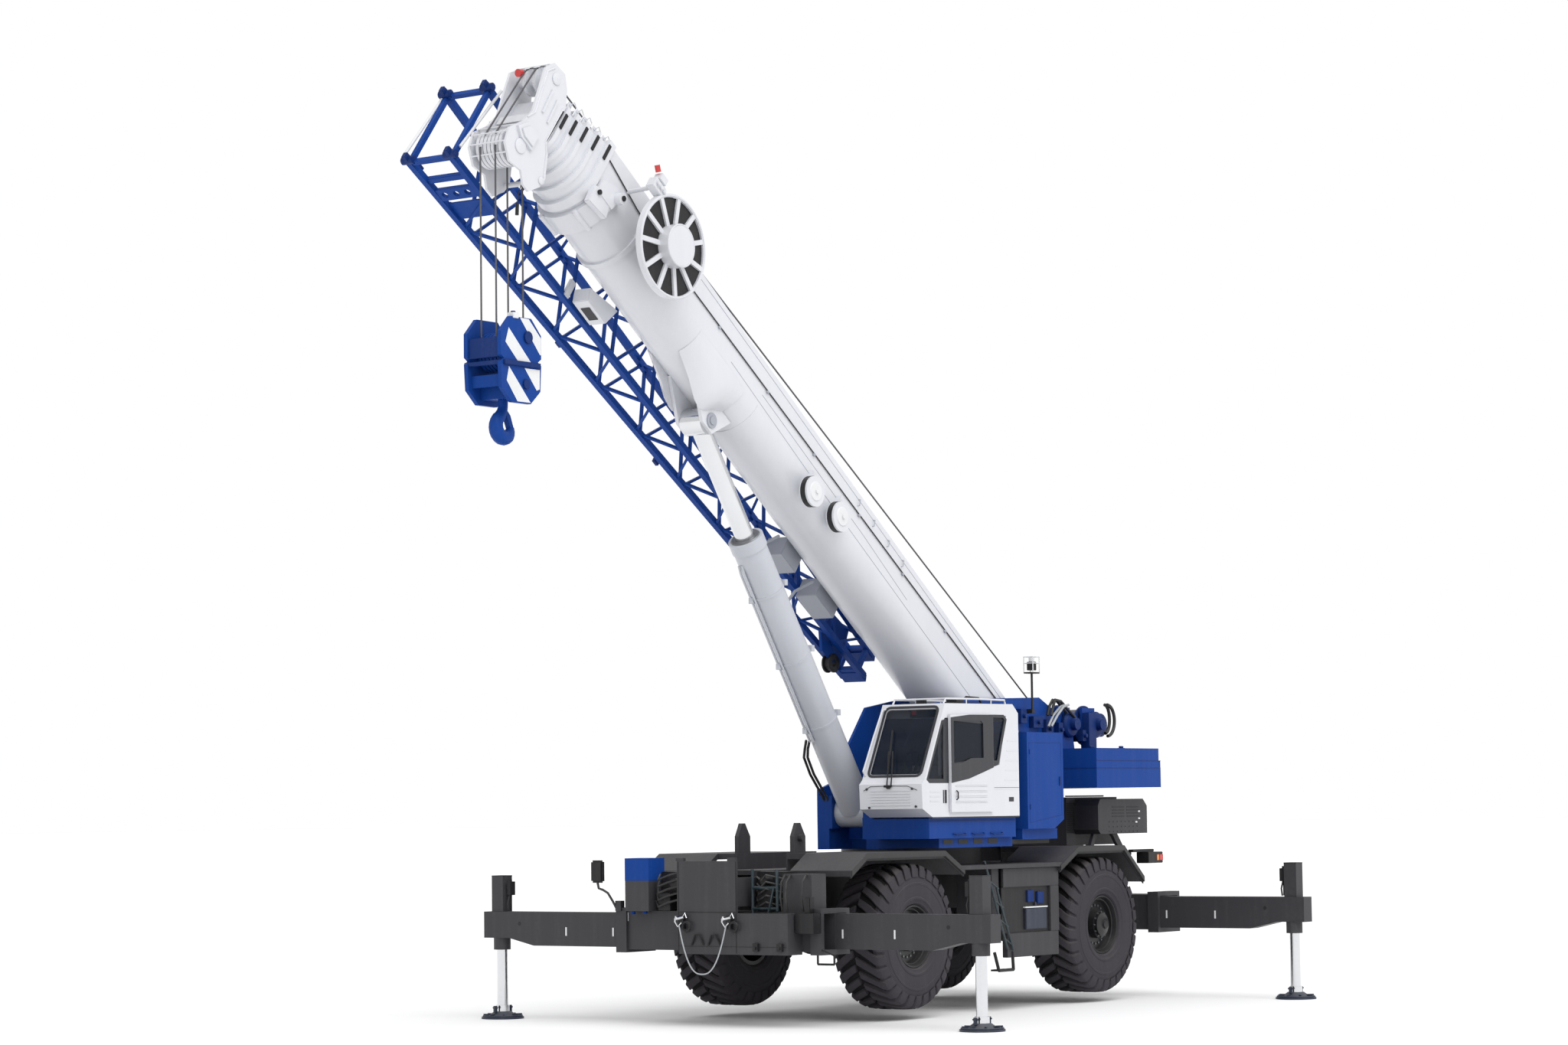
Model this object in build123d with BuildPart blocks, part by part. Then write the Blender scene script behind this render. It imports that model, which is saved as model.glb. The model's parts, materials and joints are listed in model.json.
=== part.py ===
from build123d import *
from math import atan2, cos, degrees, hypot, radians, sin
import os

# Rough-terrain mobile crane standing on its four outriggers, boom raised, jib pinned beside the boom.
# Millimetres. +X is the front of the carrier, +Y its left side, +Z up, and z = 0 is the ground.
# Each sub-part is drawn about the slewing axis (x = 0, y = 0) or in the boom's own frame, then placed.

# ---- where the slewing axis stands in the part's frame ----
slew_x = -2173

# ---- running clearances ----
seat = 0.3            # between two pieces that seat on each other but move
run = 0.08            # between a round pin or rod and its bore
gap = 8               # between two pieces that pass each other

# ---- wheels, axles and steering ----
wheel_x = 2330        # axle from the slewing axis, front and rear
track_y = 1280        # centre of a tyre from the centre line
tyre_r = 935
tyre_w = 740
tyre_tread_w = 640
tyre_sides = 36
lug_count = 20
lug_w = 105
lug_h = 42
lug_slant = 24        # a lug is turned this far from square across the tread
rim_r = 400
rim_dish_y = 120      # how deep the wheel disc sits inside the outer rim edge
hub_r = 190
tyre_lift = 126       # the jacks hold the tyres this far off the ground
hub_z = tyre_r + tyre_lift
kingpin_y = 880
kingpin_r = 88
fork_z = 180          # half of the gap between the fork's two eyes
axle_r = 150
axle_ball_r = 250

# ---- carrier ----
rail_y = 410          # outer face of the frame rails
rail_w = 170
rail_top = 1880
rail_low = 1340
rail_front = 4000
rail_rear = -4500
deck_top = 1940
deck_t = 55
deck_y = 1655         # half of the overall width
fender_top = 2145
fender_t = 75
fender_in = 700       # inner edge of the fenders

# ---- outriggers ----
beam_w = 230
beam_h = 440
beam_top = 1405
beam_wall = 16
beam_pitch = 250      # the left and right beams lie side by side, this far apart
front_out_x = 4110
rear_out_x = -4130
jack_y = 3684         # centre of a jack with its beam out
beam_tip_y = 3900
beam_root_y = 960     # inner end of a beam when it is out
box_wall = 22
box_y = 1620
beam_clear = 6
pillar_top = 1880
pillar_w = 190
jack_sleeve_r = 112
jack_rod_r = 72
beam_rise = 95        # the underside of a beam rises this much towards its tip
beam_rise_y = 3050    # where that rise starts
collar_out = 38       # the wear collar round the mouth of an outrigger box stands out this far
jack_stroke = 550
float_r = 280
float_t = 95

# ---- slewing bearing and turntable ----
ring_r = 950
ring_top = 2165
base_top = 2300
base_r = 1010
plate_y = 450         # inner face of the two turntable side plates
plate_t = 40
turn_front = 1500
ear_y = 250           # inner faces of the blocks beside the lift cylinder's foot

# ---- boom ----
boom_deg = 37.1
pivot_x = -1800
pivot_z = 3400
boom_half = 420
boom_top = 638        # top face above the pivot, square to the boom
boom_arc_w = 79       # centre of the round underside
boom_wall = 14
section_step = 32     # each section is this much smaller all round
boom_rear = -450
boom_front = 11500
section_rear = 300    # rear end of section 2; later ones sit further in
foot_pin_r = 80

# ---- lift cylinder ----
foot_x = 1250
foot_z = 2655
eye_u = 7724
eye_w = -550
barrel_r = 222
barrel_len = 4310
barrel_bore_r = 188
gland_len = 190
lift_rod_r = 125
eye_pin_r = 72

# ---- hoist ----
nose_u = 12567
nose_w = -477
nose_sheave_r = 235
sheave_pitch = 58
sheave_w = 44
fall_r = 11
fall_y = 2 * sheave_pitch   # the rope runs over the second sheave from each end
block_half = 370      # half of the hook block's length
block_y = 232         # inner face of the hook block's cheeks
block_top = 8550
block_low = 7530
hook_low = 7050

# ---- cab ----
cab_in = 620          # side facing the boom
cab_out = 1600
cab_wall = 40
cab_low = 2580
cab_roof = 4070
cab_rear = -240
cab_front = 2110
door_front = 1480
door_rear = 450
door_t = 38


def rot_xz(x, z, deg):
    """Turn a point in the XZ plane, positive from +X towards +Z."""
    a = radians(deg)
    return x * cos(a) - z * sin(a), x * sin(a) + z * cos(a)


machine = Location((slew_x, 0, 0))
boom_frame = Location((slew_x + pivot_x, 0, pivot_z), (0, -boom_deg, 0))

eye_dx, eye_dz = rot_xz(eye_u, eye_w, boom_deg)
lift_dx = pivot_x + eye_dx - foot_x
lift_dz = pivot_z + eye_dz - foot_z
lift_deg = degrees(atan2(lift_dz, lift_dx))
lift_len = hypot(lift_dx, lift_dz)
lift_frame = Location((slew_x + foot_x, 0, foot_z), (0, -lift_deg, 0))

nose_dx, nose_dz = rot_xz(nose_u, nose_w, boom_deg)
nose_x = pivot_x + nose_dx
nose_z = pivot_z + nose_dz

os.makedirs("parts", exist_ok=True)


def write(builder, name, frame=machine):
    """Place a finished sub-part, name it and write its file."""
    piece = frame * builder.part
    piece.label = name
    export_step(piece, f"parts/{name}.step")


def block(x0, x1, y0, y1, z0, z1, mode=Mode.ADD):
    """A box between two corners, in the open builder."""
    with Locations(((x0 + x1) / 2, (y0 + y1) / 2, (z0 + z1) / 2)):
        Box(abs(x1 - x0), abs(y1 - y0), abs(z1 - z0), mode=mode)


def rod_y(x, z, r, y0, y1, mode=Mode.ADD):
    """A round bar along Y."""
    with Locations(Location((x, (y0 + y1) / 2, z), (90, 0, 0))):
        Cylinder(r, abs(y1 - y0), mode=mode)


def rod_x(x0, x1, y, z, r, mode=Mode.ADD):
    """A round bar along X."""
    with Locations(Location(((x0 + x1) / 2, y, z), (0, 90, 0))):
        Cylinder(r, abs(x1 - x0), mode=mode)


def rod_z(x, y, z0, z1, r, mode=Mode.ADD):
    """A round bar along Z."""
    with Locations((x, y, (z0 + z1) / 2)):
        Cylinder(r, abs(z1 - z0), mode=mode)


def side_plate(points, y0, y1, mode=Mode.ADD):
    """A plate cut to an outline of (x, z) points, standing between y0 and y1."""
    with BuildSketch(Plane.XZ.offset(-max(y0, y1))) as outline:
        with BuildLine():
            Polyline(points, close=True)
        make_face()
    extrude(outline.sketch, amount=abs(y1 - y0), mode=mode)


def front_plate(points, x0, x1, mode=Mode.ADD):
    """A plate cut to an outline of (y, z) points, standing between x0 and x1."""
    with BuildSketch(Plane.YZ.offset(min(x0, x1))) as outline:
        with BuildLine():
            Polyline(points, close=True)
        make_face()
    extrude(outline.sketch, amount=abs(x1 - x0), mode=mode)


def bar(start, end, width):
    """A square bar between two points."""
    a = Vector(*start)
    b = Vector(*end)
    across = (0, 1, 0) if abs(b.X - a.X) > abs(b.Y - a.Y) else (1, 0, 0)
    with BuildSketch(Plane(origin=a, x_dir=across, z_dir=b - a)) as section:
        Rectangle(width, width)
    extrude(section.sketch, amount=(b - a).length)


# ---- carrier frame: two box rails, cross members and the fixed outrigger boxes ----
beam_low = beam_top - beam_h
box_half = beam_pitch / 2 + beam_w / 2 + beam_clear + box_wall
front_face = front_out_x + box_half
# rows: name, centre x of the pair, x of the left beam, x of the right beam
out_boxes = [
    ("front", front_out_x, front_out_x - beam_pitch / 2, front_out_x + beam_pitch / 2),
    ("rear", rear_out_x, rear_out_x + beam_pitch / 2, rear_out_x - beam_pitch / 2),
]
with BuildPart() as carrier_frame:
    for side in (-1, 1):
        block(rail_rear, rail_front, side * (rail_y - rail_w), side * rail_y, rail_low, rail_top)
    for x in (-3300, -1300, 1300, 3300):
        block(x - 90, x + 90, -rail_y, rail_y, rail_low + 60, rail_top - 40)
    block(-800, 800, -rail_y, rail_y, rail_low, rail_top)
    rod_z(0, 0, rail_top - 40, deck_top - deck_t, ring_r)
    for name, mid_x, left_x, right_x in out_boxes:
        block(mid_x - box_half, mid_x + box_half, -box_y, box_y,
              beam_low - beam_clear - box_wall, beam_top + beam_clear + box_wall)
        for side in (-1, 1):
            block(mid_x - box_half - collar_out, mid_x + box_half + collar_out, side * (box_y - 170), side * box_y,
                  beam_low - beam_clear - box_wall - collar_out, beam_top + beam_clear + box_wall + collar_out)
        for beam_x in (left_x, right_x):
            half = beam_w / 2 + beam_clear
            block(beam_x - half, beam_x + half, -box_y - 10, box_y + 10,
                  beam_low - seat, beam_top + beam_clear, mode=Mode.SUBTRACT)
write(carrier_frame, "carrier_frame")

# ---- deck and the four fenders ----
# rows: outline of the top of a fender, x and z
front_fender = [(1210, 1900), (1670, fender_top), (3440, fender_top), (3790, 1930)]
rear_fender = [(-3400, 1700), (-2860, fender_top), (-1640, fender_top), (-1170, 1900)]
with BuildPart() as deck:
    block(-1240, 1280, -deck_y, deck_y, deck_top - deck_t, deck_top)
    for line in (front_fender, rear_fender):
        under = [(x, z - fender_t) for x, z in reversed(line)]
        for side in (-1, 1):
            side_plate(line + under, side * fender_in, side * deck_y)
    for x0, x1 in ((1100, rail_front), (rail_rear, -1100)):
        block(x0, x1, -rail_y, rail_y, rail_top, deck_top)
    for x0, x1 in ((1670, 3440), (-2860, -1640)):
        for side in (-1, 1):
            block(x0, x1, side * (rail_y - 20), side * (fender_in + 20), fender_top - fender_t, fender_top)
            block(x0, x1, side * (rail_y - 20), side * rail_y, deck_top - 20, fender_top)
    rod_z(0, 0, deck_top - deck_t, deck_top, ring_r + 2, mode=Mode.SUBTRACT)
write(deck, "carrier_deck")

with BuildPart() as slew_bearing:
    rod_z(0, 0, deck_top - deck_t, ring_top, ring_r)
    rod_z(0, 0, deck_top - deck_t, ring_top, ring_r - 180, mode=Mode.SUBTRACT)
write(slew_bearing, "slew_bearing")

# ---- axles with the forks that hold the steering knuckles ----
fork_in = kingpin_y - kingpin_r - gap
for name, x in (("axle_front", wheel_x), ("axle_rear", -wheel_x)):
    with BuildPart() as axle:
        rod_y(x, hub_z, axle_r, -fork_in, fork_in)
        with Locations((x, 0, hub_z)):
            Sphere(axle_ball_r)
        for side in (-1, 1):
            for low in (hub_z - fork_z - 70, hub_z + fork_z):
                rod_z(x, side * kingpin_y, low, low + 70, kingpin_r + 8)
                block(x - 90, x + 90, side * (fork_in - 60), side * kingpin_y, low, low + 70)
            block(x - 90, x + 90, side * (fork_in - 60), side * fork_in, hub_z - fork_z - 70, hub_z + fork_z + 70)
            block(x - 110, x + 110, side * (rail_y - rail_w), side * rail_y, hub_z + 100, rail_low)
    write(axle, name)

# ---- tyre: a many-sided carcass with slanting lugs that wrap over both shoulders ----
half_w = tyre_w / 2
half_t = tyre_tread_w / 2
tread_r = tyre_r - lug_h
# rows: distance from the tyre's middle, radius
carcass = [
    (-half_w + 60, rim_r + 30), (-half_w, rim_r + 190), (-half_w + 8, tread_r - 150), (-half_t, tread_r),
    (half_t, tread_r), (half_w - 8, tread_r - 150), (half_w, rim_r + 190), (half_w - 60, rim_r + 30),
]
lug_line = [
    (12, tread_r - 15), (12, tyre_r), (half_t - 20, tyre_r - 4), (half_w - 2, tread_r - 110),
    (half_w - 25, tread_r - 120), (half_t - 30, tread_r - 15),
]
with BuildPart() as tyre:
    for y, r in carcass:
        with BuildSketch(Plane.XZ.offset(-y)):
            RegularPolygon(r, tyre_sides)
    loft(ruled=True)
    for side, start in ((1, 0), (-1, 180 / lug_count)):
        for n in range(lug_count):
            turned = Plane(Location((0, 0, 0), (0, start + n * 360 / lug_count, 0)))
            slanted = turned * Plane(Location((0, 0, 0), (0, 0, side * lug_slant)))
            with BuildSketch(slanted * Plane.YZ.offset(-lug_w / 2)):
                with BuildLine():
                    Polyline([(side * y, z) for y, z in lug_line], close=True)
                make_face()
    extrude(amount=lug_w)
    rod_y(0, 0, rim_r, -half_w, half_w, mode=Mode.SUBTRACT)

rim_in_y = -half_w + 60
rim_out_y = half_w - 60
disc_y = rim_out_y - rim_dish_y
with BuildPart() as rim:
    with BuildSketch(Plane.XY):
        with BuildLine():
            Polyline(
                (rim_r, rim_in_y), (rim_r, rim_out_y), (rim_r - 22, rim_out_y), (rim_r - 60, disc_y),
                (0, disc_y), (0, disc_y - 40), (rim_r - 70, disc_y - 40), (rim_r - 50, rim_in_y),
                close=True,
            )
        make_face()
    revolve(axis=Axis.Y)
    rod_y(0, 0, hub_r, disc_y, disc_y + 95)

# rows: corner name, x, side
corners = [("fl", wheel_x, 1), ("fr", wheel_x, -1), ("rl", -wheel_x, 1), ("rr", -wheel_x, -1)]
for corner, x, side in corners:
    turn = 0 if side > 0 else 180
    on_axle = machine * Location((x, side * track_y, hub_z), (0, 0, turn))
    write(tyre, f"tyre_{corner}", on_axle)
    write(rim, f"rim_{corner}", on_axle)
    with BuildPart() as knuckle:
        rod_z(x, side * kingpin_y, hub_z - fork_z + seat, hub_z + fork_z - seat, kingpin_r)
        rod_y(x, hub_z, 150, side * (kingpin_y + 30), side * (track_y + disc_y - 40 - seat))
    write(knuckle, f"knuckle_{corner}")

# ---- outrigger beams, jacks and floats ----
rod_top = pillar_top - 60 - jack_stroke
for row, mid_x, left_x, right_x in out_boxes:
    for hand, beam_x, side in (("left", left_x, 1), ("right", right_x, -1)):
        x0 = beam_x - beam_w / 2
        x1 = beam_x + beam_w / 2
        with BuildPart() as beam:
            block(x0, x1, side * beam_root_y, side * beam_tip_y, beam_low, beam_top)
            block(x0 + beam_wall, x1 - beam_wall, side * (beam_root_y - 10), side * (beam_rise_y - 20),
                  beam_low + beam_wall, beam_top - beam_wall, mode=Mode.SUBTRACT)
            front_plate([(side * beam_rise_y, beam_low), (side * (beam_tip_y + 5), beam_low - 5),
                         (side * (beam_tip_y + 5), beam_low + beam_rise),
                         (side * (beam_rise_y + 420), beam_low + beam_rise)], x0 - 5, x1 + 5, mode=Mode.SUBTRACT)
            block(beam_x - pillar_w / 2, beam_x + pillar_w / 2, side * (jack_y - 95), side * (jack_y + 95),
                  beam_top, pillar_top)
            rod_z(beam_x, side * jack_y, beam_low - 60, beam_top, jack_sleeve_r)
            rod_z(beam_x, side * jack_y, beam_low - 60, pillar_top - 40, jack_rod_r + run, mode=Mode.SUBTRACT)
        write(beam, f"beam_{row}_{hand}")
        with BuildPart() as jack:
            rod_z(beam_x, side * jack_y, float_t, rod_top, jack_rod_r)
            rod_z(beam_x, side * jack_y, float_t, float_t + 80, jack_rod_r + 18)
        write(jack, f"jack_{row}_{hand}")
        with BuildPart() as foot:
            rod_z(beam_x, side * jack_y, 0, 24, float_r)
            with Locations((beam_x, side * jack_y, (24 + float_t) / 2)):
                Cone(float_r - 70, jack_rod_r + 40, float_t - 24)
            for across in (0, 45, 90, 135):
                with Locations(Location((beam_x, side * jack_y, 24 + 20), (0, 0, across))):
                    Box(2 * float_r - 50, 14, 40)
        write(foot, f"float_{row}_{hand}")

# ---- engine, hood, and equipment round the carrier ----
with BuildPart() as engine_block:
    block(-3950, -2900, -330, 330, deck_top, 2600)
write(engine_block, "engine_block")

hood_y = 780
hood_low = fender_top
hood_top = 2820
grille_x0, grille_x1 = -2950, -4300
with BuildPart() as hood:
    block(-2760, -4150, -hood_y, hood_y, hood_low, hood_top)
    side_plate([(grille_x0 - 60, 2300), (grille_x1, 2300), (grille_x1, 2690), (grille_x1 + 110, 2790),
                (grille_x0 - 60, 2790), (grille_x0, 2700), (grille_x0, 2360)], hood_y - 20, 1190)
    block(-2790, -4120, -hood_y + 30, hood_y - 30, hood_low - 5, hood_top - 30, mode=Mode.SUBTRACT)
    for x in (-2950, -4050):
        for side in (-1, 1):
            block(x - 60, x + 60, side * (rail_y - 70), side * (rail_y - 25), deck_top, hood_top - 20)
write(hood, "engine_hood")

with BuildPart() as side_boxes:
    block(-760, -60, 960, 1560, 1180, deck_top - deck_t)
    block(180, 900, -1560, -960, 1180, deck_top - deck_t)
    block(250, 420, 1000, 1560, 1150, deck_top - deck_t)
    rod_x(-750, 50, -1250, 1480, 260)
    block(-700, -640, -1400, -1100, 1480, deck_top - deck_t)
    block(-60, 0, -1400, -1100, 1480, deck_top - deck_t)
write(side_boxes, "side_boxes")

panel_x = 4680
box_roof = beam_top + beam_clear + box_wall
with BuildPart() as front_box:
    block(front_face, panel_x, -400, 1300, beam_low - 60, beam_top + 10)
    block(panel_x - 50, panel_x, -420, 500, beam_top + 10, 2070)
    for y in (-380, 430):
        block(rail_front, panel_x - 50, y - 35, y + 35, 1500, 1860)
        block(panel_x - 55, panel_x - 5, y - 60, y + 60, 2070, 2110)
    block(4230, 4560, -1350, -970, box_roof, 2100)
    block(4050, 4360, 1000, 1440, box_roof, 1900)
write(front_box, "front_box")

rest_y = 410
with BuildPart() as boom_rest:
    for side in (-1, 1):
        side_plate([(3120, fender_top), (3380, fender_top), (3380, 2360), (3290, 2530), (3230, 2530), (3120, 2360)],
                   side * rest_y, side * (rest_y + 60))
        rod_y(3250, 2340, 45, side * (rest_y + 60), side * (rest_y + 120))
write(boom_rest, "boom_rest")

# ---- turntable ----
plate_out = plate_y + plate_t
base_low = ring_top + seat
plate_line = [
    (turn_front, base_low + 20), (turn_front, 2960), (1160, 3060), (890, 3440), (370, 4070), (-300, 4170),
    (-2560, 4230), (-2900, 4080), (-3300, 3500), (-4080, 3480), (-4080, 2960), (-2380, 2960),
    (-1350, base_top), (-1350, base_low + 20),
]
with BuildPart() as turntable:
    rod_z(0, 0, base_low, base_top, base_r)
    block(-1350, turn_front, -plate_out, plate_out, base_low, base_top)
    block(ring_r + 20, turn_front + 5, -300, 300, base_low - 5, base_top + 5, mode=Mode.SUBTRACT)
    for side in (-1, 1):
        side_plate(plate_line, side * plate_y, side * plate_out)
        rod_y(pivot_x, pivot_z, 170, side * plate_out, side * (plate_out + 60))
        block(1030, turn_front, side * ear_y, side * plate_y, 2440, 2880)
        block(1030, turn_front, side * 300, side * plate_y, base_low, 2440)
        side_plate([(-3080, 3480), (-3500, 3480), (-3380, 4100), (-3020, 4100)], side * plate_y, side * plate_out)
        side_plate([(-3740, 3480), (-4080, 3480), (-4060, 4100), (-3720, 4100)], side * plate_y, side * plate_out)
    rod_y(pivot_x, pivot_z, foot_pin_r, -plate_out, plate_out)
    block(-4080, -2400, -plate_out, plate_out, 2960, 3000)
    block(-4080, -4040, -plate_out, plate_out, 3000, 3480)
    block(-230, 1860, plate_out, cab_out - 60, base_top, cab_low)
    block(-280, turn_front, plate_out, cab_out - 150, ring_top + 8, base_top)
    block(-1350, -230, -1450, -plate_out, base_top - 40, base_top + 120)
    block(-1350, -460, plate_out, 1500, base_top - 40, 2400)
write(turntable, "turntable")

with BuildPart() as counterweight:
    for side in (-1, 1):
        block(-2420, -4180, side * plate_out, side * 1500, 2950, 3220)
        block(-2420, -4130, side * plate_out, side * 1500, 3220, 3500)
    block(-4080, -4180, -1500, 1500, 2950, 3220)
    block(-4080, -4130, -1500, 1500, 3220, 3500)
write(counterweight, "counterweight")

with BuildPart() as cabinet:
    side_plate([(-450, 2400), (-1130, 2400), (-1370, 2520), (-1370, 3700), (-450, 3700)], 560, 1600)
    block(-1370, -450, plate_out, 565, 2700, 3500)
write(cabinet, "side_cabinet")

# ---- cab ----
# rows: outline of the cab and of its inside, x and z
cab_side = [
    (cab_rear, cab_low), (1870, cab_low), (2095, 2690), (cab_front, 3010), (2040, 3070), (1540, 4060),
    (-100, cab_roof), (cab_rear, 3950),
]
cab_hole = [
    (cab_rear + cab_wall, cab_low + cab_wall), (1855, cab_low + cab_wall), (2055, 2715), (2070, 3000),
    (2000, 3055), (1515, 4020), (-80, 4030), (cab_rear + cab_wall, 3930),
]
window_side = [(1960, 3075), (1590, 3820), (1540, 3870), (60, 3910), (240, 3260), (1450, 3045)]
screen_x, screen_z = 2040 - 1540, 4060 - 3070
with BuildPart() as cab:
    side_plate(cab_side, cab_in, cab_out)
    side_plate(cab_hole, cab_in + cab_wall, cab_out - cab_wall, mode=Mode.SUBTRACT)
    side_plate(window_side, cab_in - 10, cab_out + 10, mode=Mode.SUBTRACT)
    block(door_rear + 30, door_front - 30, cab_out - cab_wall - 5, cab_out + 5, cab_low + 120, 3100, mode=Mode.SUBTRACT)
    screen = Plane(origin=(1790, (cab_in + cab_out) / 2, 3565), x_dir=(0, 1, 0), z_dir=(screen_z, 0, screen_x))
    with BuildSketch(screen):
        RectangleRounded(cab_out - cab_in - 170, 960, 60)
    extrude(amount=60, both=True, mode=Mode.SUBTRACT)
    block(cab_rear - 5, cab_rear + cab_wall + 5, cab_in + 110, cab_out - 110, 3300, 3850, mode=Mode.SUBTRACT)
    block(60, 1400, cab_in + 130, cab_out - 130, cab_roof - 80, cab_roof + 5, mode=Mode.SUBTRACT)
write(cab, "cab_shell")

door_in = cab_out + gap
with BuildPart() as door:
    side_plate([(door_rear, cab_low + 60), (door_front, cab_low + 60), (door_front, 3910), (door_rear, 3930)],
               door_in, door_in + door_t)
    side_plate([(door_rear + 60, 3280), (door_rear + 60, 3870), (door_front - 60, 3850), (door_front - 60, 3110)],
               door_in - 5, door_in + door_t + 5, mode=Mode.SUBTRACT)
    block(door_rear + 40, door_rear + 100, cab_out + seat, door_in, 3950 - 40, 3950 - 20)
write(door, "cab_door")

with BuildPart() as cab_inside:
    block(400, 920, cab_in + 220, cab_out - 220, 3010, 3130)
    block(380, 500, cab_in + 220, cab_out - 220, 3130, 3780)
    block(480, 850, cab_in + 330, cab_out - 330, cab_low + cab_wall, 3010)
    for y in (cab_in + 90, cab_out - 170):
        block(500, 1000, y, y + 80, 3180, 3260)
        block(560, 700, y, y + 80, cab_low + cab_wall, 3180)
    block(1600, 1780, cab_in + 300, cab_out - 300, cab_low + cab_wall, 3080)
write(cab_inside, "cab_interior")

# ---- winch drums ----
winch_z = 3850
for name, x in (("winch_main", -3200), ("winch_aux", -3900)):
    with BuildPart() as drum:
        rod_y(x, winch_z, 180, -plate_y + seat, plate_y - seat)
        for y in (-plate_y + 50, plate_y - 50):
            rod_y(x, winch_z, 285, y - 12, y + 12)
    write(drum, name)


# ---- boom ----
def boom_outline(shrink, mode=Mode.ADD):
    """Section of the boom, round below and flat on top, drawn square to the boom."""
    half = boom_half - shrink
    top = boom_top - shrink
    with Locations((0, boom_arc_w)):
        Circle(half, mode=mode)
    with Locations((0, (boom_arc_w + top) / 2)):
        Rectangle(2 * half, top - boom_arc_w, mode=mode)


def boom_ring(outer, inner, u0, u1):
    """A hollow length of boom from u0 to u1; outer and inner say how far its walls lie inside the base section."""
    with BuildSketch(Plane.YZ.offset(u0)) as section:
        boom_outline(outer)
        boom_outline(inner, Mode.SUBTRACT)
    extrude(section.sketch, amount=u1 - u0)


cradle_u = 11020
with BuildPart() as boom_base:
    boom_ring(0, boom_wall, boom_rear, boom_front)
    boom_ring(-28, section_step - seat, boom_front - 130, boom_front)
    boom_ring(-35, 5, 10370, 10440)
    with BuildSketch(Plane.YZ.offset(cradle_u)) as cradle:
        with Locations((0, boom_arc_w)):
            Circle(boom_half + 75)
            Circle(boom_half - 2, mode=Mode.SUBTRACT)
        with Locations((0, boom_arc_w + 300)):
            Rectangle(1200, 600, mode=Mode.SUBTRACT)
    extrude(cradle.sketch, amount=300)
    for side in (-1, 1):
        side_plate([(cradle_u - 60, 170), (cradle_u + 60, 250), (cradle_u + 330, 120), (cradle_u + 330, -60),
                    (cradle_u, -60)], side * (boom_half - 2), side * (boom_half + 75))
        rod_y(cradle_u - 10, 120, 75, side * (boom_half + 75), side * (boom_half + 165))
    for side in (-1, 1):
        rod_y(0, 0, foot_pin_r + 80, side * (boom_half - 120), side * (plate_y - seat))
    rod_y(0, 0, foot_pin_r + run, -plate_y, plate_y, mode=Mode.SUBTRACT)
    cheek = [(eye_u - 330, -300), (eye_u + 620, -300), (eye_u + 130, eye_w - 125), (eye_u - 110, eye_w - 125)]
    for side in (-1, 1):
        side_plate(cheek, side * 165, side * 215)
    boom_ring(0, boom_wall, eye_u - 400, eye_u - 300)
    rod_y(eye_u, eye_w, eye_pin_r, -165, 165)
write(boom_base, "boom_base", boom_frame)

# rows: section number, front end
section_tips = [(2, 11700), (3, 11890), (4, 12060), (5, 12210), (6, 12350)]
head_line = [
    (12225, 500), (12225, -120), (12130, -200), (11990, -470), (12010, -620), (12130, -810), (12250, -810),
    (12380, -700), (12600, -760), (12790, -630), (12840, -430), (12700, -180), (12650, 40), (12740, 420),
    (12790, 640), (12700, 800), (12480, 830), (12340, 700),
]
for number, tip in section_tips:
    shrink = section_step * (number - 1)
    with BuildPart() as section:
        boom_ring(shrink, shrink + boom_wall, section_rear + 60 * (number - 2), tip)
        if number < 6:
            boom_ring(shrink - section_step + 8, shrink + section_step - seat, tip - 60, tip)
    if number < 6:
        write(section, f"boom_section_{number}", boom_frame)
half = boom_half - shrink
with BuildPart() as head:
    for side in (-1, 1):
        side_plate(head_line, side * (half + 1), side * (half + 34))
        side_plate([(12400, -150), (12640, -150), (12760, -330), (12640, -400), (12400, -400)],
                   side * (half + 34), side * (half + 70))
    for u, w, r in ((nose_u, nose_w, 60), (nose_u, boom_top + 20, 45), (12040, -545, 32)):
        rod_y(u, w, r, -half - 10, half + 10)
    block(12440, 12600, -half - 5, half + 5, -130, 60)
    block(12440, 12470, -half - 5, half + 5, 60, 420)
    boom_ring(shrink - 1, shrink, 12225, 12350)
    block(12350, 12380, -half - 5, half + 5, -150, 440)
write(section, "boom_section_6", boom_frame)
write(head, "boom_head", boom_frame)

with BuildPart() as sheaves:
    for n in range(7):
        y = (n - 3) * sheave_pitch
        rod_y(nose_u, nose_w, nose_sheave_r, y - sheave_w / 2, y + sheave_w / 2)
    rod_y(nose_u, nose_w, 95, -200, 200)
    rod_y(nose_u, nose_w, 60, -205, 205, mode=Mode.SUBTRACT)
    for y in (-80, 80):
        rod_y(nose_u, boom_top + 20, 170, y - 22, y + 22)
    rod_y(nose_u, boom_top + 20, 70, -120, 120)
    rod_y(nose_u, boom_top + 20, 45, -205, 205, mode=Mode.SUBTRACT)
write(sheaves, "head_sheaves", boom_frame)

reel_u = 10240
reel_w = 0
reel_y = 850
reel_r = 650
reel_rim = 42
reel_hub_r = 270
spokes = 11
with BuildPart() as cord_reel:
    rod_y(reel_u, reel_w, reel_r, reel_y, reel_y + 75)
    rod_y(reel_u, reel_w, reel_r - reel_rim, reel_y - 5, reel_y + 80, mode=Mode.SUBTRACT)
    for n in range(spokes):
        with Locations(Location((reel_u, reel_y + 60, reel_w), (0, n * 360 / spokes, 0))):
            with Locations(((reel_r - reel_rim + reel_hub_r) / 2, 0, 0)):
                Box(reel_r - reel_rim - reel_hub_r + 30, 28, 62)
    rod_y(reel_u, reel_w, reel_hub_r, reel_y, reel_y + 200)
    rod_y(reel_u, reel_w, 110, reel_y - 60, reel_y)
write(cord_reel, "cord_reel", boom_frame)

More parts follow.
